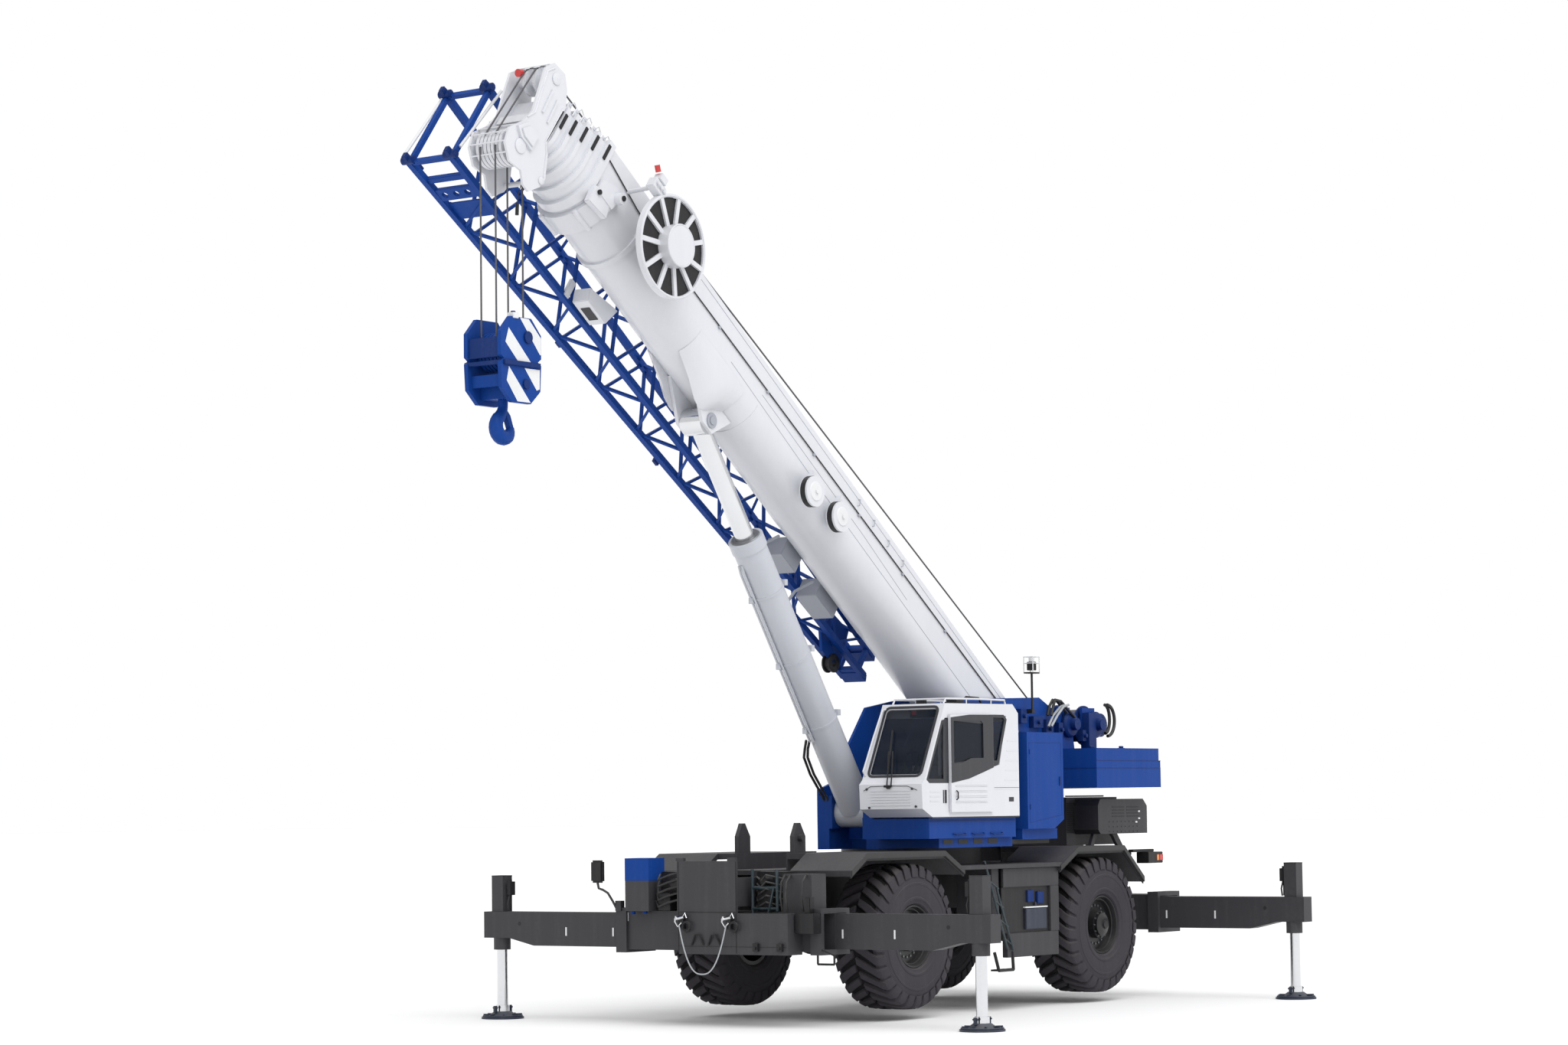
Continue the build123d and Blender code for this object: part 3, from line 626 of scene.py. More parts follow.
@dataclass
class Repeat:
    """A ring or row of equal items made by Geometry Nodes."""

    layout: Layout
    item: Item
    count: int
    reach: float
    size: Point

    def tree(self) -> bpy.types.NodeTree:
        """Builds the node tree.

        Returns:
            A tree with named inputs for the count, reach and item size.
        """
        sockets = {"Geometry": "Geometry", "Count": "Int", "Reach": "Float", "Item Size": "Vector",
                   "Finish": "Material"}
        name = f"{self.layout.value}_of_{self.item.value}s"
        tree, g, (_, count, reach, size, finish) = new_tree(name, sockets)
        if self.layout is Layout.RING:
            spots = g.node("GeometryNodeMeshCircle", inputs={"Vertices": count, "Radius": reach})
        else:
            offset = g.node("ShaderNodeCombineXYZ", inputs={"X": reach / (count - 1.0)})
            spots = g.node("GeometryNodeMeshLine", inputs={"Count": count, "Offset": offset})
        if self.item is Item.BOLT:
            part = g.node("ShaderNodeSeparateXYZ", inputs={"Vector": size})
            tall = g.node("ShaderNodeSeparateXYZ", inputs={"Vector": size}, output="Z")
            shape = g.node("GeometryNodeMeshCylinder", inputs={"Vertices": 6, "Radius": part, "Depth": tall})
        else:
            shape = g.node("GeometryNodeMeshCube", inputs={"Size": size})
        laid = g.node("GeometryNodeInstanceOnPoints", inputs={"Points": spots, "Instance": shape})
        finished(g, laid, finish)
        return tree

    def piece(self, name: str, finish: Finish, body: str, places: list[Matrix]) -> bpy.types.Object:
        """Makes one piece from copies of the layout.

        Args:
            name: the piece's name.
            finish: its surface.
            body: the body it moves with.
            places: where each copy of the layout stands.

        Returns:
            The finished object.
        """
        values = {"Count": self.count, "Reach": self.reach, "Item Size": self.size, "Finish": finish.material()}
        mesh = grown(bpy.data.meshes.new(name + "_seed"), self.tree(), values)
        work = bmesh.new()
        for place in places:
            one = mesh.copy()
            one.transform(place)
            work.from_mesh(one)
            bpy.data.meshes.remove(one)
        mesh.clear_geometry()
        work.to_mesh(mesh)
        work.free()
        return settle(mesh, name, finish, body)


@dataclass
class Turned:
    """Copies of one shape turned about an axle along Y, made by Geometry Nodes."""

    count: int
    axle: Point

    def tree(self) -> bpy.types.NodeTree:
        """Builds the node tree.

        Returns:
            A tree with named inputs for the shape, the count, the axle and the finish.
        """
        sockets = {"Shape": "Geometry", "Count": "Int", "Axle": "Vector", "Finish": "Material"}
        tree, g, (shape, count, axle, finish) = new_tree("copies_round_an_axle", sockets)
        spots = g.node("GeometryNodeMeshLine", inputs={"Count": count, "Start Location": axle,
            "Offset": (0.0, 0.0, 0.0)})
        number = g.node("GeometryNodeInputIndex")
        turn = g.node("ShaderNodeCombineXYZ", inputs={"Y": number * math.tau / count})
        values = {"Points": spots, "Instance": shape, "Rotation": turn}
        finished(g, g.node("GeometryNodeInstanceOnPoints", inputs=values), finish)
        return tree

    def mesh(self, shape: bpy.types.Mesh, finish: Finish) -> bpy.types.Mesh:
        """Makes the mesh of all copies.

        Args:
            shape: the shape at the origin, which is used up.
            finish: its surface.

        Returns:
            The finished mesh, in place.
        """
        return grown(shape, self.tree(), {"Count": self.count, "Axle": self.axle, "Finish": finish.material()})


def looking(origin: Point, normal: Point, run: Point = (0, 0, 1)) -> Matrix:
    """A place whose Z is the normal and whose X is the run.

    Args:
        origin: its origin.
        normal: direction of its Z.
        run: direction of its X.

    Returns:
        The placing matrix.
    """
    z = Vector(normal).normalized()
    x = (Vector(run) - z * Vector(run).dot(z)).normalized()
    y = z.cross(x)
    turned = Matrix((x, y, z)).transposed().to_4x4()
    return Matrix.Translation(origin) @ turned


def flat(y: float, *rows: tuple[float, float]) -> list[Point]:
    """Points in a plane of equal Y.

    Args:
        y: their second number.
        rows: their first and third numbers.

    Returns:
        The points in order.
    """
    return [(a, y, b) for a, b in rows]


def oblong(y: float, a: float, b: float, low: float, high: float) -> list[Point]:
    """Corners of a rectangle in a plane of equal Y.

    Args:
        y: their second number.
        a: first number of the near side.
        b: first number of the far side.
        low: third number of the lower side.
        high: third number of the upper side.

    Returns:
        The four corners in order.
    """
    return flat(y, (a, low), (b, low), (b, high), (a, high))


def joint(name: str) -> dict:
    """The record's joint of that name."""
    return next(j for j in frame["joints"] if j["name"] == name)


# ---------------------------------------------------------------- where the main things are
SLEW_X: float = joint("slew")["pos_m"][0]
PIVOT = Vector(joint("boom_lift")["pos_m"])
ALONG = Vector(joint("tele_2")["axis"])
RISE = Vector((-ALONG.z, 0.0, ALONG.x))


def on_boom(u: float, y: float, w: float) -> Point:
    """A point of the boom's own frame.

    Args:
        u: distance along the boom from its pivot.
        y: distance to the left.
        w: distance above the pivot, square to the boom.

    Returns:
        The point in the part's frame.
    """
    spot = PIVOT + ALONG * u + RISE * w
    return (spot.x, y, spot.z)


def at(x: float, y: float, z: float) -> Point:
    """A point measured from the slewing axis."""
    return (x + SLEW_X, y, z)


# ---------------------------------------------------------------- sub-assemblies
@dataclass
class Paintwork:
    """Gives every carried-over CAD node its finish."""

    starts: tuple[tuple[str, Finish], ...] = (
        ("tyre", TYRE), ("rim", RIM), ("boom_base", WHITE), ("boom_section", WHITE), ("boom_head", WHITE),
        ("head_sheaves", WHITE), ("cab_shell", WHITE), ("cab_door", WHITE), ("lift_barrel", CYLINDER),
        ("reel_mounts", WHITE), ("turntable", BLUE), ("counterweight", BLUE), ("side_cabinet", BLUE),
        # The winches take the darker copy of the blue paint, which is painted shade.
        ("jib", BLUE), ("hook", BLUE), ("winch", BLUE_IN_SHADE), ("jack", CHROME), ("lift_rod", CHROME),
        ("float", SLATE), ("hoist_falls", ROPE), ("engine_block", STEEL), ("cab_interior", SEAT),
        ("cord_reel", WHITE), ("reel_cord", BLACK),
    )

    def build(self) -> None:
        """Assigns the finishes."""
        for name, node in frame["nodes"].items():
            chosen = next((f for start, f in self.starts if name.startswith(start)), GREY)
            node.data.materials.clear()
            node.data.materials.append(chosen.material())
            log.info("%s is %s", name, chosen.name)


@dataclass
class Wheels:
    """Tyres with their lugs, rim rings, bolts and hubs of the four wheels."""

    lugs: int = 30
    disc_depth: float = 0.12
    rim_bolts: int = 20
    hub_bolts: int = 12
    lug_half: float = 0.060
    lug_sweep: float = 0.24
    tyre_sides: int = 72
    bolt_circle: float = 0.265
    bolt_size: Point = (0.016, 0.016, 0.03)
    # rows: radius, distance from the tyre's middle
    carcass: tuple[tuple[float, float], ...] = (
        (0.402, 0.30), (0.425, 0.338), (0.47, 0.352), (0.478, 0.362), (0.50, 0.363), (0.51, 0.356), (0.60, 0.366),
        (0.66, 0.366), (0.665, 0.370), (0.69, 0.370), (0.695, 0.364), (0.76, 0.352), (0.83, 0.335), (0.875, 0.315),
        (0.888, 0.27), (0.892, 0.0))
    # rows: share of the lug's sweep, distance from the middle, height of its foot, height of its face
    lug_line: tuple[tuple[float, float, float, float], ...] = (
        (0.0, 0.012, 0.88, 0.934), (0.22, 0.10, 0.88, 0.934), (0.5, 0.20, 0.88, 0.932), (0.8, 0.285, 0.865, 0.927),
        (0.92, 0.33, 0.83, 0.905), (1.0, 0.352, 0.79, 0.86), (1.02, 0.366, 0.755, 0.79))
    corners: tuple[str, ...] = ("fl", "fr", "rl", "rr")

    def build(self) -> None:
        """Builds all four."""
        for corner in self.corners:
            low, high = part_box("rim_" + corner)
            side = 1 if corner.endswith("l") else -1
            centre = (low + high) / 2
            self._tyre(corner, centre)
            self._hub(corner, centre, (max(abs(low.y), abs(high.y)) - self.disc_depth) * side, side)

    def _tyre(self, corner: str, centre: Vector) -> None:
        """One tyre: a turned carcass, a darker tread floor that paints the shade between the lugs, and two rings of
        lugs.

        Args:
            corner: name of the corner.
            centre: centre of the wheel.
        """
        half = list(self.carcass)
        profile = half + [(r, -y) for r, y in reversed(half[:-1])]
        body = Form().lathe(tuple(centre), (0, 1, 0), profile, self.tyre_sides)
        tyre = body.piece("tread_body_" + corner, TYRE, "wheel_" + corner)
        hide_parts("tyre_" + corner)
        # Tread floor between the lugs, in the same rubber made darker: painted shade.
        floor = Form().lathe(tuple(centre), (0, 1, 0), [(0.86, -0.29), (0.8935, -0.27), (0.8945, 0.27), (0.86, 0.29)],
                             self.tyre_sides)
        floor.piece("tread_floor_" + corner, TREAD_SHADE, "wheel_" + corner)
        for hand, start in ((1, 0.0), (-1, math.pi / self.lugs)):
            shape = self._lug(hand, start)
            mesh = Turned(self.lugs, tuple(centre)).mesh(shape, TYRE)
            ring = "outer" if hand * centre.y > 0 else "inner"
            settle(mesh, f"tread_{ring}_{corner}", TYRE, "wheel_" + corner)

    def _lug(self, hand: int, start: float) -> bpy.types.Mesh:
        """One lug at the origin, swept from the middle of the tread over the shoulder.

        Args:
            hand: 1 towards +Y, -1 towards -Y.
            start: angle where it starts.

        Returns:
            The lug's mesh.
        """
        form = Form()
        points = []
        for share, y, foot, face in self.lug_line:
            angle = start + self.lug_sweep * share
            spread = self.lug_half * (0.8 + 0.25 * share)
            for radius, lean in ((foot, 1.12), (face, 1.0)):
                for way in (-1, 1):
                    t = angle + way * spread * lean / radius
                    points.append(Vector((radius * math.sin(t), hand * y, radius * math.cos(t))))
        faces = [(0, 1, 3, 2)]
        for i in range(len(self.lug_line) - 1):
            a, b = 4 * i, 4 * i + 4
            faces += [(a, b, b + 1, a + 1), (a + 1, b + 1, b + 3, a + 3), (a + 3, b + 3, b + 2, a + 2),
                      (a + 2, b + 2, b, a)]
        last = len(points) - 4
        faces.append((last, last + 2, last + 3, last + 1))
        form.points, form.faces = points, faces
        return form.mesh("lug", 0.006)

    def _hub(self, corner: str, centre: Vector, disc: float, side: int) -> None:
        """Rings, bolts and hub of one wheel.

        Args:
            corner: name of the corner.
            centre: centre of the wheel.
            disc: Y of the wheel disc's outer face.
            side: 1 on the left, -1 on the right.
        """
        body = "wheel_" + corner
        rings = Form()
        for radius, out in ((0.392, 0.118), (0.355, 0.06)):
            rings.ring((centre.x, disc + side * out, centre.z), (0, 1, 0), radius, 0.011, 48)
        rings.piece("rim_rings_" + corner, RIM, body)
        spot = (centre.x, disc, centre.z)
        bolts = Repeat(Layout.RING, Item.BOLT, self.rim_bolts, self.bolt_circle, self.bolt_size)
        bolts.piece("rim_bolts_" + corner, STEEL, body, [looking(spot, (0, side, 0))])
        cover = Form().lathe(spot, (0, side, 0), [(0.001, 0.09), (0.12, 0.09), (0.15, 0.10), (0.16, 0.135),
            (0.11, 0.165), (0.06, 0.168), (0.055, 0.19), (0.001, 0.19)])
        cover.piece("hub_cover_" + corner, RIM, body)
        small = Repeat(Layout.RING, Item.BOLT, self.hub_bolts, 0.175, (0.011, 0.011, 0.03))
        small.piece("hub_bolts_" + corner, STEEL, body, [looking((centre.x, disc + side * 0.1, centre.z),
            (0, side, 0))])


@dataclass
class Outriggers:
    """Marks, hoses and caps of the beams, and brackets of the floats."""

    rows: tuple[str, ...] = ("front", "rear")
    hands: tuple[tuple[str, int], ...] = (("left", 1), ("right", -1))
    marks: tuple[float, ...] = (1.72, 2.5)
    beam_face: float = 0.1152

    def build(self) -> None:
        """Builds the four corners."""
        for row in self.rows:
            for hand, side in self.hands:
                name = f"{row}_{hand}"
                low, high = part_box("beam_" + name)
                foot_low, foot_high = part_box("float_" + name)
                self._beam(name, (low.x + high.x) / 2, (foot_low.y + foot_high.y) / 2, side, high)
                self._foot(name, (foot_low.x + foot_high.x) / 2, (foot_low.y + foot_high.y) / 2)

    def _beam(self, name: str, x: float, y: float, side: int, high: Vector) -> None:
        """Marks, hole with its painted shade, cap, hose and valve of one beam.

        Args:
            name: row and hand.
            x: centre of the beam.
            y: centre of the jack.
            side: 1 on the left, -1 on the right.
            high: highest corner of the beam.
        """
        body = "beam_" + name
        cap = Form().box((x - 0.10, y - 0.10, high.z - 0.012), (x + 0.10, y + 0.10, high.z))
        cap.piece("pillar_cap_" + name, GREY, body, 0.004)
        marks = Form()
        # Black discs on both faces paint the shade inside the beam's hole.
        holes = Form()
        for way in SIDES:
            face = x + way * self.beam_face
            for near in self.marks:
                marks.box((face, side * near - 0.012, 1.10), (face + way * 0.002, side * near + 0.012, 1.21))
            holes.rod((face, side * 3.29, 1.25), (face + way * 0.002, side * 3.29, 1.25), 0.026, 20)
        marks.piece("beam_marks_" + name, STRIPE, body)
        holes.piece("beam_holes_" + name, BLACK, body)
        valve = Form().box((x - 0.05, y - side * 0.16 - 0.03, 1.62), (x + 0.05, y - side * 0.16 + 0.03, 1.80))
        valve.rod((x, y - side * 0.15, 1.42), (x, y - side * 0.15, 1.64), 0.012, 10)
        valve.rod((x, y - side * 0.16, 1.78), (x, y - side * 0.16, 1.83), 0.014, 10)
        valve.piece("jack_valve_" + name, BLACK, body, 0.004)
        hose = Form().pipe([(x + 0.05, y - side * 0.15, 1.42), (x + 0.065, y - side * 0.155, 1.52),
                            (x + 0.02, y - side * 0.15, 1.63)], 0.012)
        hose.piece("jack_hose_" + name, HOSE, body)

    def _foot(self, name: str, x: float, y: float) -> None:
        """Ears and retaining ring of one float.

        Args:
            name: row and hand.
            x: centre of the float.
            y: centre of the float.
        """
        ears = Form()
        for way in SIDES:
            ears.box((x + way * 0.15 - 0.02, y - 0.02, 0.08), (x + way * 0.15 + 0.02, y + 0.02, 0.17))
            ears.rod((x + way * 0.15, y - 0.04, 0.145), (x + way * 0.15, y + 0.04, 0.145), 0.012, 10)
        ears.ring((x, y, 0.035), (0, 0, 1), 0.255, 0.012, 32)
        ears.piece("float_ears_" + name, SLATE, "jack_" + name, 0.003)


@dataclass
class Carrier:
    """Lips, louvres, ladders, panels, lamps, tow gear and hoses of the carrier, and black fills of painted shade
    under the lips and in its openings, recess and a front gap.
    """

    half_width: float = 1.655
    lip: float = 0.07
    # Y of the black band that paints the shadow under the lips.
    lip_shadow_y: float = 1.64
    front_x: float = 4.40
    front_line: tuple[tuple[float, float], ...] = ((1.21, 1.90), (1.67, 2.145), (3.44, 2.145), (3.79, 1.93))
    rear_line: tuple[tuple[float, float], ...] = ((-3.4, 1.70), (-2.86, 2.145), (-1.64, 2.145), (-1.17, 1.90))

    def build(self) -> None:
        """Builds all the carrier's pieces."""
        self._lips()
        self._hood()
        self._side()
        self._ladders()
        self._front()
        self._tow_gear()
        self._mirror()
        self._rear()

    def _lips(self) -> None:
        """Turned-down edges of the fenders, and a black band set back under them that paints the shadow below each
        lip.
        """
        # The second row draws a black band set back under each lip, which paints the shadow there.
        rows = (("fender_lips", RIM, self.half_width + 0.001, 0.0, self.lip, 0.006),
                ("fender_seams", BLACK, self.lip_shadow_y, 0.075, 0.10, -0.02))
        for name, finish, out, top, foot, push in rows:
            edge = Form(at)
            for line in (self.front_line, self.rear_line):
                for (x0, z0), (x1, z1) in zip(line, line[1:]):
                    for side in SIDES:
                        y = side * out
                        edge.prism(flat(y, (x0, z0 - top), (x1, z1 - top), (x1, z1 - foot), (x0, z0 - foot)),
                                   (0, side * push, 0))
            edge.piece(name, finish, "carrier")

    def _hood(self) -> None:
        """Louvres, slots and brackets of the engine hood; the black louvre lines, slots and holes paint the shade in
        its openings.
        """
        # Black lines, slots and holes: painted shade inside the hood's openings.
        places = [looking(at(-3.2, side * 0.782, 2.33), (0, side, 0)) for side in SIDES]
        Repeat(Layout.ROW, Item.SLAT, 14, 0.40, (0.012, 0.84, 0.012)).piece("hood_louvres", BLACK, "carrier", places)
        slots = [looking(at(x, side * 1.1915, 2.545), (0, side, 0)) for x in (-3.50, -3.90) for side in SIDES]
        Repeat(Layout.ROW, Item.SLAT, 4, 0.13, (0.016, 0.33, 0.004)).piece("grille_slots", BLACK, "carrier", slots)
        rows = [looking(at(-3.25 - 0.11 * k, side * 1.1915, 2.33), (0, side, 0)) for k in range(8) for side in SIDES]
        Repeat(Layout.ROW, Item.BOLT, 3, 0.14, (0.010, 0.010, 0.004)).piece("grille_holes", BLACK, "carrier", rows)
        marks = Form(at)
        for side in SIDES:
            for x, z in ((-4.10, 2.60), (-4.10, 2.50), (-4.02, 2.45)):
                marks.box((x, side * 1.19, z), (x + 0.05, side * 1.194, z + 0.022))
        marks.piece("grille_marks", STRIPE, "carrier")
        legs = Form(at)
        for side in SIDES:
            legs.prism(flat(side * 1.0, (-3.55, 2.30), (-3.70, 2.30), (-3.95, 2.02), (-3.80, 2.02)),
                       (0, side * 0.05, 0))
            legs.box((-4.0, side * 0.9, 1.99), (-3.3, side * 1.1, 2.03))
            legs.prism(flat(side * 1.0, (-3.05, 2.30), (-3.15, 2.30), (-3.0, 2.03), (-2.90, 2.03)),
                       (0, side * 0.05, 0))
        legs.piece("hood_legs", GREY, "carrier", 0.004)
        lip = Form(at)
        for side in SIDES:
            lip.box((-3.76, side * 0.78, 2.825), (-2.74, side * 0.80, 2.845))
        lip.piece("hood_lip", GREY, "carrier", 0.003)

    def _side(self) -> None:
        """Panels, recess and tank between the wheels on the left, and a plain panel on the right; the recess's black
        back paints its shade.
        """
        panels = Form(at)
        panels.boxes((-1.18, 1.52, 0.70, 0.12, 1.60, 1.02), (-1.20, 1.56, 1.63, 0.20, 1.60, 1.88),
                     (-1.20, 1.52, 1.02, -0.98, 1.60, 1.63), (-1.15, -1.60, 0.80, 1.10, -1.57, 1.86))
        panels.piece("side_panels", GREY, "carrier", 0.006)
        # Black back of the recess: painted shade.
        Form(at).box((-0.98, 1.50, 1.02), (0.20, 1.568, 1.63)).piece("side_recess", BLACK, "carrier")
        tank = Form(at).box((-0.88, 1.568, 1.06), (-0.36, 1.60, 1.34))
        tank.rod((-0.62, 1.585, 1.34), (-0.62, 1.585, 1.42), 0.014)
        tank.piece("side_tank", SLATE, "carrier", 0.006)
        Form(at).box((-0.90, 1.568, 1.345), (-0.34, 1.604, 1.362)).piece("tank_rim", STRIPE, "carrier")
        bits = Form(at).boxes((-0.82, 1.568, 1.40, -0.66, 1.598, 1.56), (-0.58, 1.568, 1.42, -0.42, 1.592, 1.58))
        bits.piece("tank_valves", BLUE_IN_SHADE, "carrier", 0.006)

    def _ladders(self) -> None:
        """Ladders and hanging steps."""
        ladder = Form(at)
        y = 1.625
        ladder.pipe(flat(y, (0.69, 1.99), (0.60, 1.80), (0.16, 0.82)), 0.016)
        ladder.pipe(flat(y, (0.40, 1.63), (0.33, 1.46), (0.02, 0.80)), 0.016)
        for k in range(4):
            x, z = 0.56 - 0.115 * k, 1.72 - 0.256 * k
            ladder.rod((x, y, z), (x - 0.20, y, z - 0.10), 0.012, 8)
        near, far, front = 0.56, 0.94, self.front_x
        for y0, z0, y1, z1 in ((near, 1.73, far, 1.73), (near, 1.47, far, 1.47), (near, 1.24, near, 1.96),
                               (far, 1.44, far, 1.96)):
            ladder.rod((front, y0, z0), (front, y1, z1), 0.020, 8)
        ladder.rod((4.42, 0.90, 1.73), (4.42, 0.80, 1.37), 0.014, 8)
        ladder.piece("ladders", TEAL, "carrier")
        steps = Form(at)
        loop = flat(1.60, (0.44, 0.78), (0.34, 0.54), (-0.02, 0.54), (0.0, 0.78))
        steps.chain(loop, 0.022, 8)
        steps.box((0.0, 1.46, 0.528), (0.32, 1.61, 0.552))
        loop = [(front, y, z) for y, z in ((1.55, 0.95), (1.55, 0.79), (1.80, 0.79), (1.80, 0.90))]
        steps.chain(loop, 0.014, 8)
        steps.rod((front, 1.80, 0.90), (front, 1.58, 0.98), 0.012, 8)
        steps.piece("hanging_steps", BLACK, "carrier")

    def _front(self) -> None:
        """Valve blocks, a black box that paints the shade in a gap, hoses, lids and blank plates at the front."""
        dark = Form(at)
        # The box from Y 0.51 to 0.99 stands for dark machinery in the gap behind the ladder and is black to paint its
        # shade; the others are valve blocks, the battery box and its post.
        dark.boxes((4.02, -0.96, 1.44, 4.30, -0.43, 1.93), (4.02, 0.51, 1.44, 4.24, 0.99, 1.93),
                   (4.30, -0.90, 1.44, 4.46, -0.70, 1.66), (4.24, 0.60, 1.44, 4.36, 0.84, 1.70),
                   (4.38, 1.32, 1.17, 4.56, 1.61, 1.42), (4.40, 1.43, 1.42, 4.50, 1.51, 1.62))
        dark.rod((4.30, -0.62, 1.78), (4.48, -0.62, 1.78), 0.07, 18).rod((4.24, 0.72, 1.82), (4.40, 0.72, 1.82),
            0.055, 18)
        dark.piece("front_valves", BLACK, "carrier", 0.006)
        hoses = Form(at)
        for k in range(5):
            z = 1.52 + 0.085 * k
            hoses.pipe([(4.40, -0.98 + 0.02 * k, z + 0.04), (4.50, -0.86, z - 0.03), (4.52, -0.70, z + 0.02),
                        (4.48, -0.55, z + 0.06), (4.40, -0.43, z)], 0.014, 8)
            hoses.pipe([(4.25, 0.52, z), (4.40, 0.62 + 0.02 * k, z - 0.04), (4.42, 0.78, z + 0.03),
                        (4.32, 0.98, z - 0.02)], 0.013, 8)
        for y in (1.04, 1.12, 1.36):
            hoses.pipe([(4.37, y, 1.88), (4.46, y + 0.01, 1.80), (4.50, y + 0.02, 1.62), (4.46, y + 0.02, 1.44)],
                       0.014, 8)
        hoses.piece("front_hoses", HOSE, "carrier")
        lid = Form(at).frame([(4.228, -1.352, 1.82), (4.562, -1.352, 1.82), (4.562, -0.968, 1.82),
                              (4.228, -0.968, 1.82)], [(4.231, -1.349, 1.82), (4.559, -1.349, 1.82),
            (4.559, -0.971, 1.82), (4.231, -0.971, 1.82)], (0, 0, 0.28))
        lid.box((4.228, -1.352, 2.10), (4.562, -0.968, 2.106))
        lid.piece("front_lid", BLUE, "carrier")
        drain = Form(at).rod((4.46, -1.30, 1.47), (4.46, -1.30, 1.39), 0.03)
        drain.rod((4.44, -1.12, 1.47), (4.44, -1.12, 1.40), 0.03)
        drain.piece("front_drains", BLUE, "carrier")
        seams = Form(at)
        seams.box((4.6801, -0.40, 1.425), (4.683, 0.50, 1.437))
        for y in (-0.400, 0.505):
            seams.box((4.6801, y - 0.005, 0.92), (4.683, y + 0.005, 2.06))
        seams.box((4.6801, -0.40, 1.0), (4.683, 1.28, 1.006))
        seams.piece("front_seams", BLACK, "carrier")
        white = Form(at)
        orange = Form(at)
        for side, y in ((1, 1.44), (-1, -1.44)):
            white.box((4.378, y, 1.30), (4.381, y + side * 0.14, 1.41))
            orange.box((4.378, y + side * 0.02, 1.16), (4.381, y + side * 0.12, 1.25))
        white.piece("blank_plates_white", STRIPE, "carrier")
        orange.piece("blank_plates_orange", ORANGE, "carrier")
        marks = Form(at).boxes((4.378, 1.52, 1.10, 4.381, 1.544, 1.21), (-3.861, 1.50, 1.10, -3.859, 1.524, 1.21))
        marks.piece("box_marks", STRIPE, "carrier")

    def _tow_gear(self) -> None:
        """Shackles, their pins and the slack cable between them."""
        eyes = Form(at)
        pins = Form(at)
        for y in (-0.33, 0.41):
            eyes.box((4.68, y - 0.02, 1.22), (4.74, y + 0.05, 1.40))
            eyes.ring((4.725, y + 0.085, 1.25), (1, 0, 0), 0.058, 0.018, 24)
            pins.rod((4.755, y - 0.07, 1.34), (4.755, y + 0.07, 1.37), 0.018, 10)
            pins.pipe([(4.76, y - 0.05, 1.38), (4.77, y - 0.06, 1.31), (4.76, y - 0.02, 1.25),
                       (4.75, y + 0.03, 1.30)], 0.012, 8)
            pins.pipe([(4.75, y + 0.04, 1.36), (4.77, y + 0.10, 1.42), (4.76, y + 0.12, 1.36)], 0.010, 8)
        for y in (-0.10, 0.16):
            eyes.pipe([(4.69, y - 0.09, 1.02), (4.71, y - 0.02, 1.15), (4.71, y + 0.04, 1.15),
                       (4.69, y + 0.10, 1.02)], 0.014, 8)
        for y in (0.82, 1.19):
            eyes.box((4.68, y - 0.04, 0.95), (4.72, y + 0.04, 1.05)).rod((4.70, y, 0.99), (4.74, y, 0.99), 0.02, 10)
        eyes.piece("tow_eyes", BLACK, "carrier", 0.004)
        pins.piece("tow_pins", CHROME, "carrier")
        half, low = 0.37, 0.66
        route = []
        for k in range(-12, 13):
            t = k / 12
            route.append((4.765 + 0.02 * (1 - t * t), 0.04 + half * t, low + (1.27 - low) * abs(t) ** 2.6))
        Form(at).pipe(route, 0.009, 8).piece("tow_cable", CABLE, "carrier")

    def _mirror(self) -> None:
        """Mirror on its arm at the right front corner."""
        arm = Form(at).pipe([(4.40, -1.60, 1.43), (4.46, -1.63, 1.55), (4.50, -1.68, 1.66), (4.50, -1.76, 1.70),
                             (4.50, -1.83, 1.72), (4.50, -1.85, 1.80)], 0.016)
        arm.box((4.36, -1.61, 1.43), (4.44, -1.52, 1.56))
        arm.piece("mirror_arm", GREY, "carrier")
        Form(at).box((4.46, -1.95, 1.79), (4.53, -1.75, 2.08)).piece("front_mirror", BLACK, "carrier", 0.025)
        Form(at).box((4.455, -1.93, 1.81), (4.459, -1.77, 2.06)).piece("mirror_glass", CHROME, "carrier")

    def _rear(self) -> None:
        """Rear lamp boxes on their bars."""
        bars = Form(at)
        red = Form(at)
        amber = Form(at)
        for side in SIDES:
            bars.boxes((-4.3955, side * 1.16, 2.03, -3.80, side * 1.24, 2.07),
                       (-4.505, side * 1.12, 1.87, -4.10, side * 1.32, 2.03))
            red.boxes((-4.3955, side * 1.14, 1.89, -4.505, side * 1.30, 2.01),
                      (-4.505, side * 1.32, 1.91, -4.415, side * 1.325, 1.99))
            amber.box((-4.395, side * 1.32, 1.91), (-4.335, side * 1.325, 1.99))
        bars.piece("rear_lamp_boxes", BLACK, "carrier", 0.006)
        red.piece("rear_red_lamps", RED, "carrier")
        amber.piece("rear_amber_lamps", AMBER, "carrier")


